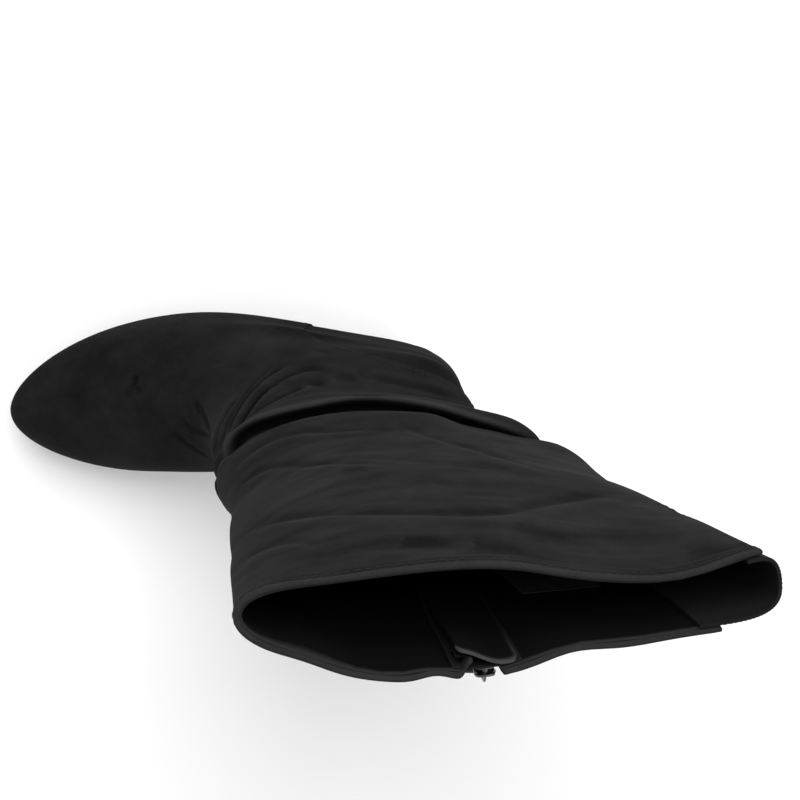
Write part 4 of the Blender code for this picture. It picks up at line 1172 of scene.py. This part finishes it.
def tube(path: Array, radius: float | Array, sides: int = 12, flat: float = 1.0,
         up: Sequence[float] = (1, 0, 0)) -> Mesh:
    """A round or oval bar carried along a path, closed at both ends.

    Each point P of the path gives a ring P + r (cos a U + flat sin a V), where V lies along T x U."""
    ahead = unit(np.gradient(path, axis=0))
    side = unit(np.cross(ahead, np.broadcast_to(np.array(up, float), path.shape)))
    above = np.cross(side, ahead)
    angle = np.linspace(0, 2 * math.pi, sides, endpoint=False)
    size = np.broadcast_to(np.asarray(radius, float), len(path))[:, None, None]
    ring = np.cos(angle)[None, :, None] * above[:, None] + flat * np.sin(angle)[None, :, None] * side[:, None]
    return capped(Mesh.grid(path[:, None] + size * ring, wrap_v=True), len(path), sides)


@dataclass
class Zip:
    """The zip: tape, two rows of coil, guard flap, slider and the pull that hangs from it.

    The slider's own frame has X outwards, Y across and Z up the zip, as in the part."""

    form: Form
    tape_width: float = 0.024
    tape_depth: float = 0.0025
    tape_thickness: float = 0.0007
    below_slot: float = 0.008
    below_rim: float = 0.0015
    tooth_pitch: float = 0.00135
    tooth_length: float = 0.0036
    tooth_radius: float = 0.00052
    guard_width: float = 0.021
    guard_thickness: float = 0.0012
    guard_corner: float = 0.0025
    guard_lean: float = 0.0050
    guard_lean_height: float = 0.060
    slider_width: float = 0.0078
    slider_length: float = 0.0105
    slider_below: float = 0.0035
    plate: float = 0.0011
    gap: float = 0.0003
    bridge_length: float = 0.0060
    bridge_width: float = 0.0022
    bridge_bar: float = 0.0010
    pin_radius: float = 0.00065
    pull_length: float = 0.0240
    pull_width: float = 0.0068
    pull_thickness: float = 0.0013
    pull_hole: float = 0.0024
    pull_top: float = 0.0010
    sunk: float = 0.0003

    def slider_place(self) -> Matrix:
        """The slider's own frame in the boot."""
        form = self.form
        rise = 1 - form.rise_per_metre * (self.slider_below + self.slider_length / 2)
        turn = float(form.zip_turn(rise))
        at = form.folded_wall(turn, rise)
        at[0] -= form.origin_from_back
        step = 0.004
        up = Vector(form.folded_wall(turn, rise + step) - form.folded_wall(turn, rise - step)).normalized()
        out = Vector(form.normal(turn, rise))
        out = (out - out.dot(up) * up).normalized()
        frame_axes = Matrix((out, up.cross(out), up)).transposed().to_4x4()
        return Matrix.Translation(Vector(at)) @ frame_axes

    def build_tape(self, tape: bpy.types.Material) -> None:
        """The woven tape behind the slot, with a raised bead along each side of the coil."""
        form = self.form
        widths = np.linspace(-self.tape_width / 2, self.tape_width / 2, 41)
        low = form.zip_low - self.below_slot * form.rise_per_metre
        high = 1 - self.below_rim * form.rise_per_metre
        bead = 0.00025 * bell(np.abs(widths) - 0.0040, 0.0004)[:, None]
        rises = np.linspace(low, high, 220)
        turns = np.stack([form.zip_line(width, rises) for width in widths])
        piece = WallPiece(form, turns, np.broadcast_to(rises, turns.shape), self.tape_depth - bead,
                          self.tape_depth + self.tape_thickness, True)
        piece.mesh().build("zip_tape_woven", tape, "tape", replaces=("zip_tape",), sharp=60)

    def build_coil(self, coil: bpy.types.Material) -> None:
        """Two rows of coil, each turn a round-ended bar that reaches past the middle between two others."""
        form = self.form
        low = form.zip_low + 0.001 * form.rise_per_metre
        high = 1 - (self.slider_below + 0.5 * self.slider_length) * form.rise_per_metre
        rises = np.linspace(low, high, 900)
        turns = form.zip_turn(rises)
        points, normals, _ = form.face(turns, rises, self.tape_depth - 0.0007, True)
        way = lengths(points)
        rows = []
        for side in (-1, 1):
            places = np.arange(self.tooth_pitch * (1 + side / 2) / 2, way[-1], self.tooth_pitch)
            at = read_line(way, points, places)
            up = unit(read_line(way, normals, places))
            ahead = unit(read_line(way, np.gradient(points, axis=0), places))
            across = unit(np.cross(ahead, up)) * side
            at = at + across * (self.tooth_length / 2 - 0.0006)
            axes = np.stack([across * self.tooth_length / 2, ahead * self.tooth_radius,
                             np.cross(across, ahead) * self.tooth_radius * 1.3], 1)
            rows.append(copies(capsule(8, 5), at, axes))
        Mesh.joined(rows).build("zip_coil_rows", coil, "coil", replaces=("zip_coil",))

    def build_guard(self, lining: bpy.types.Material) -> None:
        """The guard flap behind the zip, padded a little, with its top corners rounded off."""
        form = self.form
        widths = np.linspace(-0.5, 0.5, 31) * self.guard_width
        low = form.zip_low - self.below_slot * form.rise_per_metre
        high = 1 - 0.0005 * form.rise_per_metre
        turns, rises = [], []
        base = np.linspace(0, 1, 160)
        for width in widths:
            inset = max(abs(width) - (self.guard_width / 2 - self.guard_corner), 0)
            drop = self.guard_corner - math.sqrt(max(self.guard_corner**2 - inset**2, 0))
            line = low + base * (high - drop * form.rise_per_metre - low)
            rises.append(line)
            turns.append(form.zip_line(width, line))
        edge = np.abs(widths)[:, None] / (self.guard_width / 2)
        free = smooth(widths / self.guard_width, -0.4, 0.5)[:, None]
        from_top = (1 - np.array(rises)) / form.rise_per_metre
        lean = self.guard_lean * free * (1 - smooth(from_top, 0, self.guard_lean_height))
        belly = 0.0003 * (1 - edge**6) + 0.00035 * bell(edge - 0.9, 0.06)
        face = self.tape_depth + self.tape_thickness + self.gap
        piece = WallPiece(form, np.array(turns), np.array(rises), face + lean,
                          face + lean + self.guard_thickness * 0.7 + belly, True)
        mesh = piece.mesh()
        back_edge = bell(widths[:, None] / self.guard_width + 0.5, 0.03) * bell(from_top, 0.016)
        bound = np.maximum(bell(from_top - np.array(from_top[:, -1:]), 0.0010), back_edge)
        mesh.values["rub"] = np.tile(bound.ravel(), 2)
        mesh.build("zip_guard_flap", lining, "lining", replaces=("zip_guard",), sharp=60)

    def build_slider(self, metal: bpy.types.Material) -> None:
        """The slider: two plates joined by its wedge, side flanges and the bridge for the pull."""
        inner = -self.tape_depth + self.gap
        top = self.gap + self.plate
        half_length = self.slider_length / 2
        pin = top + self.pin_radius + self.gap
        parts = [
            pillow((self.plate / 2, self.slider_width / 2, half_length), (self.gap + self.plate / 2, 0, 0),
                   0.55, 0.3, 0.30),
            pillow((0.0004, self.slider_width / 2, half_length), (inner + 0.0004, 0, 0), 0.55, 0.3, 0.30),
            pillow(((top - inner) / 2, 0.00175, 0.0042), ((top + inner) / 2, 0, 0), 0.8, 0.3, 0.2),
        ]
        for side in (-1, 1):
            z = np.linspace(-half_length * 0.75, half_length * 0.72, 12)
            y = side * (self.slider_width / 2 - 0.0006) * (0.86 + 0.14 * z / half_length)
            flange = np.stack([np.full(12, self.gap - 0.0001), y, z], 1)
            parts.append(tube(flange, 0.0005))
        bend = np.linspace(0, math.pi, 21)
        span = self.bridge_length / 2 - self.bridge_bar / 2
        high = pin + self.pin_radius + self.gap + self.bridge_bar / 2 - top
        x = top - self.sunk + (high + self.sunk) * np.sin(bend) ** 0.5
        arch = np.stack([x, 0 * bend, -span * np.cos(bend)], 1)
        parts.append(tube(arch, self.bridge_bar / 2, 12, self.bridge_width / self.bridge_bar, (0, 1, 0)))
        mesh = Mesh.joined(parts).placed(self.slider_place())
        mesh.build("zip_slider_cast", metal, "metal", replaces=("zip_slider",), sharp=50)

    def build_pull(self, metal: bpy.types.Material) -> None:
        """The pull: a pin through the bridge, two arms and a flat tab with a slot, as one band.

        The band's section is a rounded flat bar between an inner and an outer line, each a closed
        curve round the same middle, so the hole at the top and the tab below it are one surface."""
        top = self.gap + self.plate
        pin_out = top + self.pin_radius + self.gap
        arm_half = self.bridge_width / 2 + self.gap
        length, width = self.pull_length, self.pull_width / 2
        angle = np.linspace(0, 2 * math.pi, 96, endpoint=False)
        cos, sin = np.cos(angle), np.sin(angle)
        square = 0.62
        hole = self.pull_hole
        hole_y = arm_half * signed_power(sin, square)
        hole_z = -hole + hole * signed_power(cos, square)
        reach = np.where(cos > 0, self.pull_top + hole, length - hole)
        z = -hole + reach * signed_power(cos, 0.75)
        widening = (width - arm_half - 0.0011) * smooth(np.clip(-z / length, 0, 1), 0.05, 0.45)
        y = signed_power(sin, 0.75) * (arm_half + self.pin_radius * 1.7 + widening)
        section = np.linspace(0, 2 * math.pi, 20, endpoint=False)
        blend = 0.5 + 0.5 * signed_power(np.cos(section), 0.35)
        thick = self.pull_thickness / 2 * signed_power(np.sin(section), 0.35)
        inner = np.stack([hole_y, hole_z], 1)[:, None]
        outer = np.stack([y, z], 1)[:, None]
        flat = inner + blend[None, :, None] * (outer - inner)
        rim = 1 + 0.18 * bell(blend - 0.86, 0.10)
        x = np.broadcast_to(thick * rim, flat.shape[:2])
        grid = np.concatenate([x[..., None], flat], -1)
        band = Mesh.grid(grid, wrap_u=True, wrap_v=True)
        pin = tube(np.linspace(-1, 1, 8)[:, None] * (0, arm_half + 0.0004, 0), self.pin_radius)
        place = self.slider_place() @ Matrix.Translation((pin_out, 0, 0))
        mesh = Mesh.joined([band, pin]).placed(place)
        mesh.build("zip_pull_cast", metal, "metal", Body.PULL, ("zip_pull",), sharp=50)


@dataclass
class Bottom:
    """Outsole, insole, covered heel block and top lift."""

    form: Form
    margin: float = 0.0008
    heel_length: float = 0.056
    foot_length: float = 0.046
    foot_width: float = 0.050
    lift: float = 0.0050
    gap: float = 0.0003
    insole_thickness: float = 0.0035
    insole_inset: float = 0.0038
    round_share: float = 0.62
    round_power: float = 0.72
    breast_hollow: float = 0.0012
    groove_pitch: float = 0.004
    groove_width: float = 0.0006
    groove_depth: float = 0.0005

    def edge_lines(self, margin: float, places: Array) -> tuple[Array, Array, Array, Array]:
        """The feather line's two sides, moved outwards, at shares of the sole's length from 0 to 1.

        Returns:
            x, outer y, inner y and the upper's lower edge's height, one value for each place.
        """
        form = self.form
        turn = np.linspace(0, math.pi, 500)
        sides = []
        for way in (-1, 1):
            line = form.folded_wall(way * turn, 0.0)
            line[:, :2] += margin * form.normal(way * turn, 0.0)[:, :2]
            sides.append(line)
        x = sides[0][0, 0] + places * (sides[0][-1, 0] - sides[0][0, 0])
        outer, inner = (np.interp(x, side[:, 0], side[:, 1]) for side in sides)
        height = np.maximum(*(np.interp(x, side[:, 0], side[:, 2]) for side in sides))
        return x, outer, inner, height

    def slab(self, margin: float, top: float, bottom: float, tread: float) -> Mesh:
        """A sole from the back to the toe with rounded edges.

        Stations crowd towards both ends as (1 - cos) / 2. Each holds a closed section: a rounded flat
        bar between its outer and inner edge, flat underneath but for the tread's grooves."""
        places = (1 - np.cos(np.linspace(0, math.pi, 202)[1:-1])) / 2
        x, outer, inner, height = self.edge_lines(margin, places)
        angle = np.linspace(0, 2 * math.pi, 72, endpoint=False)
        across, up = -signed_power(np.cos(angle), 0.30), signed_power(np.sin(angle), 0.30)
        middle, half = ((outer + inner) / 2)[:, None], ((inner - outer) / 2)[:, None]
        y = middle + half * across
        level = (top + bottom) / 2 + (top - bottom) / 2 * up
        z = height[:, None] + level
        groove = bell((x[:, None] % self.groove_pitch) - self.groove_pitch / 2, self.groove_width)
        groove = groove * smooth(1 - np.abs(across), 0.10, 0.16)
        field_share = smooth(places, 0.58, 0.62) * (1 - smooth(places, 0.93, 0.95))
        z = z + tread * groove * field_share[:, None] * (up < -0.98)
        grid = np.stack([np.broadcast_to(x[:, None] - self.form.origin_from_back, y.shape), y, z], -1)
        return capped(Mesh.grid(grid, wrap_v=True), len(x), 72)

    def heel_ring(self, length: float, width: float, back: float, count: int) -> Array:
        """A heel's outline, closed: a round back and straight sides to a slightly hollow breast."""
        half, depth = width / 2, length * self.round_share
        arc = np.linspace(0, math.pi, count)
        x = back + depth * (1 - np.abs(np.sin(arc)) ** self.round_power)
        y = -half * signed_power(np.cos(arc), self.round_power)
        straight = np.linspace(back + length, back + depth, 12)[:-1]
        side = np.stack([straight, np.full(11, -half)], 1)
        across = np.linspace(-1, 1, 22)[1:-1]
        hollow = np.stack([back + length - self.breast_hollow * (1 - across**2), across * half], 1)
        return np.concatenate([side, np.stack([x, y], 1), side[::-1] * [1, -1], hollow[::-1]])

    def build(self, suede: bpy.types.Material, rubber: bpy.types.Material,
              lining: bpy.types.Material) -> None:
        """Makes the sole, the sock, the heel and its top lift."""
        form = self.form
        sole = self.slab(self.margin, -form.seat_gap, -form.seat_gap - form.sole_thickness, self.groove_depth)
        sole.build("outsole_rubber", rubber, "rubber", replaces=("outsole",), sharp=50)
        sock = self.slab(-self.insole_inset, self.insole_thickness, 0.0, 0.0)
        sock.build("insole_sock", lining, "lining", replaces=("insole",), sharp=50)
        self.build_heel(suede, rubber)

    def build_heel(self, suede: bpy.types.Material, rubber: bpy.types.Material) -> None:
        """The block heel, whose rings go from the seat's outline in to the foot's, and its top lift."""
        form = self.form
        x, outer, inner, height = self.edge_lines(self.margin - 0.0012, np.linspace(0, 1, 500))
        within = x < self.heel_length
        outer_half, inner_half = np.abs(outer[within]).max(), np.abs(inner[within]).max()
        top = self.heel_ring(self.heel_length, outer_half + inner_half, form.rows[0, 0], 61)
        top[:, 1] += (inner_half - outer_half) / 2
        foot_back = form.origin_from_back - self.foot_length / 2
        foot = self.heel_ring(self.foot_length, self.foot_width, foot_back, 61)
        seat = np.interp(top[:, 0], x, height) - form.seat_gap - form.sole_thickness - self.gap
        low = self.lift + self.gap
        levels = np.concatenate([[0, 0.004, 0.012], np.linspace(0.03, 0.985, 46), [0.993, 0.998, 1.0]])
        taper = np.interp(levels, (0.0, 0.15, 0.35, 0.60, 0.80, 1.0), (0.0, 0.30, 0.62, 0.85, 0.95, 1.0))
        smooth_taper = np.convolve(np.pad(taper, 3, "edge"), np.ones(7) / 7, "valid")
        taper = smooth_taper + (taper - smooth_taper) * (bell(levels, 0.04) + bell(levels - 1, 0.04))
        inset = 0.0006 * (bell(levels, 0.006) + bell(levels - 1, 0.006))
        rings = []
        for level, share, pull in zip(levels, taper, inset):
            ring = top + share * (foot - top)
            middle = ring.mean(0)
            ring = middle + (ring - middle) * (1 - pull / 0.025)
            rings.append(np.column_stack([ring, seat + level * (low - seat)]))
        grid = np.array(rings)
        grid[..., 0] -= form.origin_from_back
        mesh = capped(Mesh.grid(grid, wrap_v=True), len(levels), grid.shape[1])
        mesh.values = {"relief": np.zeros(len(mesh.points)), "rub": np.zeros(len(mesh.points))}
        mesh.build("heel_cover", suede, "suede", replaces=("heel_block",), sharp=55)
        foot[:, 0] -= form.origin_from_back
        heights = (self.lift, self.lift - 0.0004, 0.0004, 0.0)
        sizes = (0.990, 1.0, 1.0, 0.990)
        middle = foot.mean(0)
        lift = np.array([np.column_stack([middle + (foot - middle) * s, np.full(len(foot), h)])
                         for h, s in zip(heights, sizes)])
        lift_mesh = capped(Mesh.grid(lift, wrap_v=True), 4, len(foot))
        lift_mesh.build("top_lift_rubber", rubber, "rubber", replaces=("top_lift",), sharp=60)


class Wire:
    """A shader socket with Python's operators, each of which adds a Math node."""

    def __init__(self, shop: "Shop", socket: bpy.types.NodeSocket) -> None:
        """Holds the socket and the material that it is in."""
        self.shop = shop
        self.socket = socket

    def math(self, operation: str, other: "Wire | float | None" = None, swap: bool = False) -> "Wire":
        """One Math node on this socket and another value."""
        values = {0: self} if other is None else {0: self, 1: other}
        if swap:
            values = {0: other, 1: self}
        node = self.shop.node("ShaderNodeMath", {"operation": operation}, values)
        return Wire(self.shop, node.outputs[0])

    def __add__(self, other: "Wire | float") -> "Wire":
        """self + other."""
        return self.math("ADD", other)

    def __sub__(self, other: "Wire | float") -> "Wire":
        """self - other."""
        return self.math("SUBTRACT", other)

    def __rsub__(self, other: float) -> "Wire":
        """other - self."""
        return self.math("SUBTRACT", other, True)

    def __mul__(self, other: "Wire | float") -> "Wire":
        """self * other."""
        return self.math("MULTIPLY", other)

    def __pow__(self, other: float) -> "Wire":
        """self to a power."""
        return self.math("POWER", other)

    __radd__ = __add__
    __rmul__ = __mul__

    def between(self, low: float, high: float) -> "Wire":
        """0 below low and 1 above high, straight between."""
        node = self.shop.node("ShaderNodeMapRange", {}, {"Value": self, "From Min": low, "From Max": high})
        return Wire(self.shop, node.outputs[0])


class Shop:
    """One material and the nodes that are added to it."""

    def __init__(self, name: str) -> None:
        """A new material with its Principled shader."""
        self.material = bpy.data.materials.new(name)
        self.material.use_nodes = True
        self.tree = self.material.node_tree
        self.shader = self.tree.nodes["Principled BSDF"]

    def node(self, kind: str, settings: dict[str, object], values: dict) -> bpy.types.Node:
        """Adds a node.

        Args:
            kind: the node's type.
            settings: its own settings, set before its sockets.
            values: the value or wire of each input socket, by name or number.

        Returns:
            The new node.
        """
        made = self.tree.nodes.new(kind)
        for key, value in settings.items():
            setattr(made, key, value)
        for key, value in values.items():
            self.join(made.inputs[key], value)
        return made

    def join(self, socket: bpy.types.NodeSocket, value: object) -> None:
        """Links a wire to a socket, or sets the socket's own value."""
        if isinstance(value, Wire):
            self.tree.links.new(value.socket, socket)
        else:
            socket.default_value = value

    def noise(self, scale: float, detail: float = 2.0, rough: float = 0.5, place: Wire | None = None) -> Wire:
        """Smooth noise from 0 to 1 with so many lumps a metre, on the object's own coordinates."""
        at = place or self.place()
        node = self.node("ShaderNodeTexNoise", {"noise_dimensions": "3D"},
                         {"Vector": at, "Scale": scale, "Detail": detail, "Roughness": rough})
        return Wire(self, node.outputs[0])

    def place(self, kind: str = "Object") -> Wire:
        """The point's Object coordinates or UV place."""
        return Wire(self, self.node("ShaderNodeTexCoord", {}, {}).outputs[kind])

    def value(self, name: str) -> Wire:
        """A number that each point of the mesh carries."""
        return Wire(self, self.node("ShaderNodeAttribute", {"attribute_name": name}, {}).outputs["Fac"])

    def axis(self, place: Wire, number: int) -> Wire:
        """One coordinate of a place."""
        return Wire(self, self.node("ShaderNodeSeparateXYZ", {}, {0: place}).outputs[number])

    def blend(self, share: Wire | float, first: Sequence[float], second: Sequence[float]) -> Wire:
        """A colour between two, each a wire or three numbers."""
        pair = [c if isinstance(c, Wire) else (*c, 1.0) for c in (first, second)]
        node = self.node("ShaderNodeMix", {"data_type": "RGBA", "clamp_factor": True},
                         {0: share, 6: pair[0], 7: pair[1]})
        return Wire(self, node.outputs[2])

    def bump(self, height: Wire, distance: float, strength: float) -> Wire:
        """Normals tilted by a height from 0 to 1 that stands for a distance in metres."""
        node = self.node("ShaderNodeBump", {}, {"Height": height, "Distance": distance, "Strength": strength})
        return Wire(self, node.outputs[0])

    def dress(self, **values: object) -> bpy.types.Material:
        """Sets the shader's sockets, named with _ for a space."""
        for name, value in values.items():
            if name.endswith(("Color", "Tint")) and not isinstance(value, Wire):
                value = (*value, 1.0)
            self.join(self.shader.inputs[name.replace("_", " ")], value)
        return self.material


@dataclass(frozen=True)
class Suede:
    """Brushed black suede: blotches where the nap lies differently, a fine fuzz and a soft sheen."""

    name: str = "suede"
    dark: tuple[float, float, float] = (0.0030, 0.0030, 0.0031)
    light: tuple[float, float, float] = (0.0250, 0.0249, 0.0252)
    rim_highlight_and_wear: tuple[float, float, float] = (0.048, 0.048, 0.048)
    sheen: float = 0.008
    sheen_roughness: float = 0.45
    specular: float = 0.06
    roughness: float = 0.93
    streak_way: tuple[float, float, float] = (1.0, 1.0, 5.0)

    def material(self) -> bpy.types.Material:
        """Makes the material."""
        shop = Shop(self.name)
        long_way = Wire(shop, shop.node("ShaderNodeVectorMath", {"operation": "MULTIPLY"},
                                        {0: shop.place(), 1: self.streak_way}).outputs[0])
        blotch = shop.noise(22.0, 3.0, 0.55).between(0.36, 0.68)
        cloud = shop.noise(140.0, 3.0, 0.6).between(0.30, 0.72)
        streak = shop.noise(24.0, 4.0, 0.6, long_way).between(0.34, 0.70)
        fuzz = shop.noise(1500.0, 2.0, 0.6)
        grain = shop.noise(4200.0, 1.0, 0.5)
        # relief paints shade into the creases' troughs and lightens their lips, worn nap with painted light.
        relief = shop.value("relief").between(-2.2, 1.2)
        shaft = shop.value("shaft")
        share = 0.24 * blotch + 0.12 * cloud + 0.32 * shaft * streak + 0.16 * fuzz + 0.75 * relief - 0.56
        colour = shop.blend(share, self.dark, self.light)
        # The collar's rim painted lighter: worn nap and a painted highlight on the folded edge.
        colour = shop.blend(shop.value("rub") * (0.25 + 0.8 * fuzz), colour, self.rim_highlight_and_wear)
        nap = shop.bump(0.6 * fuzz + 0.4 * grain, 0.0004, 0.55)
        return shop.dress(Base_Color=colour, Roughness=self.roughness, Normal=nap,
                          Sheen_Weight=self.sheen, Sheen_Roughness=self.sheen_roughness,
                          Specular_IOR_Level=self.specular)


@dataclass(frozen=True)
class Cloth:
    """Woven cloth with threads both ways, at a pitch in millimetres across its own UV places or in space."""

    name: str
    colour: tuple[float, float, float]
    pitch: float = 0.5
    roughness: float = 0.85
    on_uv: bool = False
    bound: tuple[float, float, float] = (0.045, 0.045, 0.046)

    def material(self) -> bpy.types.Material:
        """Makes the material: over and under threads as a product of two waves."""
        shop = Shop(self.name)
        place = shop.place("UV") if self.on_uv else shop.place()
        turns = 2 * math.pi / (self.pitch if self.on_uv else self.pitch * MM)
        second = 1 if self.on_uv else 2
        warp = (shop.axis(place, 0) * turns).math("SINE")
        weft = (shop.axis(place, second) * turns).math("SINE")
        weave = 0.5 + 0.5 * warp * weft
        slub = shop.noise(300.0, 2.0, 0.6)
        share = 0.55 * weave + 0.45 * slub
        dark = tuple(0.55 * c for c in self.colour)
        light = tuple(1.35 * c for c in self.colour)
        colour = shop.blend(share, dark, light)
        colour = shop.blend(shop.value("rub"), colour, self.bound)
        return shop.dress(Base_Color=colour, Roughness=self.roughness,
                          Normal=shop.bump(weave, 0.0002, 0.6), Sheen_Weight=0.004, Specular_IOR_Level=0.05)


@dataclass(frozen=True)
class Elastic:
    """Ribbed elastic: dark between its ribs, with fine threads across them."""

    name: str = "elastic"
    colour: tuple[float, float, float] = (0.006, 0.006, 0.0063)

    def material(self) -> bpy.types.Material:
        """Makes the material."""
        shop = Shop(self.name)
        along = shop.axis(shop.place("UV"), 1)
        thread = 0.5 + 0.5 * (along * (2 * math.pi / 0.55)).math("SINE")
        slub = shop.noise(900.0, 2.0, 0.6)
        colour = shop.blend(0.6 * thread + 0.4 * slub, tuple(0.6 * c for c in self.colour),
                            tuple(1.5 * c for c in self.colour))
        return shop.dress(Base_Color=colour, Roughness=0.8, Normal=shop.bump(thread, 0.00015, 0.5),
                          Sheen_Weight=0.008, Specular_IOR_Level=0.1)


@dataclass(frozen=True)
class Hard:
    """A plain moulded or cast finish with slight unevenness: rubber, nylon coil, thread or metal."""

    name: str
    colour: tuple[float, float, float]
    roughness: float
    metallic: float = 0.0
    lumps: float = 400.0
    depth: float = 0.00005
    coat: float = 0.0

    def material(self) -> bpy.types.Material:
        """Makes the material: tone and gloss follow two sizes of noise."""
        shop = Shop(self.name)
        broad = shop.noise(self.lumps / 6, 3.0, 0.6)
        fine = shop.noise(self.lumps * 3, 2.0, 0.6)
        tone = 0.5 * broad + 0.5 * fine
        colour = shop.blend(tone, tuple(0.75 * c for c in self.colour), tuple(1.25 * c for c in self.colour))
        rough = self.roughness + 0.16 * (fine - 0.5)
        return shop.dress(Base_Color=colour, Roughness=rough, Metallic=self.metallic, Coat_Weight=self.coat,
                          Normal=shop.bump(fine, self.depth, 0.4))


@dataclass
class Studio:
    """A white floor, a bright soft room, a large key light on the outer side, two weak ones, the camera."""

    camera_at: tuple[float, float, float] = (0.095, -0.088, 0.700)
    camera_way: tuple[float, float, float] = (-0.1427, 0.1371, -0.9803)
    lens: float = 52.7
    sensor: float = 36.0
    room: float = 0.60
    floor_size: float = 6.0

    def build(self) -> None:
        """Sets up the floor, the lights, the camera and the way the picture is developed."""
        scene = bpy.context.scene
        scene.view_settings.view_transform = "Standard"
        self.build_floor()
        world = bpy.data.worlds.new("room")
        world.use_nodes = True
        world.node_tree.nodes["Background"].inputs["Color"].default_value = (1, 1, 1, 1)
        world.node_tree.nodes["Background"].inputs["Strength"].default_value = self.room
        scene.world = world
        self.add_light("key", (0.05, -1.0, 1.3), 1.4, 26.0)
        self.add_light("fill", (-0.8, 0.6, 1.2), 1.0, 4.0)
        self.add_light("low", (0.75, 0.55, 0.10), 0.5, 1.6)
        data = bpy.data.cameras.new("camera")
        data.lens, data.sensor_width = self.lens, self.sensor
        data.clip_start = 0.01
        camera = bpy.data.objects.new("camera", data)
        scene.collection.objects.link(camera)
        ahead = Vector(self.camera_way).normalized()
        right = ahead.cross(Vector((0, -1, 0))).normalized()
        turn = Matrix((right, right.cross(ahead), -ahead)).transposed().to_4x4()
        camera.matrix_world = Matrix.Translation(self.camera_at) @ turn
        scene.camera = camera

    def build_floor(self) -> None:
        """The floor, a plain white sheet at the sole's level."""
        half = self.floor_size / 2
        mesh = bpy.data.meshes.new("floor")
        corners = [(-half, -half, 0), (half, -half, 0), (half, half, 0), (-half, half, 0)]
        mesh.from_pydata(corners, [], [(0, 1, 2, 3)])
        shop = Shop("floor")
        mesh.materials.append(shop.dress(Base_Color=(0.93, 0.93, 0.93), Roughness=0.9))
        floor = bpy.data.objects.new("floor", mesh)
        bpy.context.scene.collection.objects.link(floor)

    @staticmethod
    def add_light(name: str, place: tuple[float, float, float], size: float, power: float) -> None:
        """A square soft light that faces the middle of the boot."""
        data = bpy.data.lights.new(name, "AREA")
        data.size, data.energy = size, power
        light = bpy.data.objects.new(name, data)
        light.location = place
        way = Vector((0.03, 0.0, 0.17)) - Vector(place)
        light.rotation_euler = way.to_track_quat("-Z", "Y").to_euler()
        bpy.context.scene.collection.objects.link(light)


def main() -> None:
    """Builds every sub-assembly, then the stage."""
    logging.basicConfig(level=logging.INFO, format="%(name)s: %(message)s")
    form = Form()
    form.lay_creases(CREASES)
    suede = Suede().material()
    lining = Cloth("lining", (0.0025, 0.0025, 0.0027), 0.7).material()
    tape = Cloth("zip_tape", (0.012, 0.012, 0.013), 0.6, on_uv=True).material()
    elastic = Elastic().material()
    rubber = Hard("rubber", (0.016, 0.016, 0.016), 0.62, lumps=900.0).material()
    coil = Hard("coil", (0.014, 0.014, 0.015), 0.42).material()
    metal = Hard("metal", (0.10, 0.10, 0.105), 0.34, metallic=1.0, depth=0.00002).material()
    thread = Hard("thread", (0.007, 0.007, 0.0072), 0.90, lumps=2500.0).material()
    upper = Upper(form)
    upper.build(suede, lining)
    Counter(form).build(suede)
    Gore(form).build(elastic)
    Label(form).build(Cloth("label", (0.060, 0.060, 0.0605), 0.4).material())
    zip_parts = Zip(form)
    zip_parts.build_tape(tape)
    zip_parts.build_coil(coil)
    zip_parts.build_guard(lining)
    zip_parts.build_slider(metal)
    zip_parts.build_pull(metal)
    Bottom(form).build(suede, rubber, lining)
    Stitching(form).sew(upper.slot_width, thread)
    Studio().build()


if __name__ == "__main__":
    main()
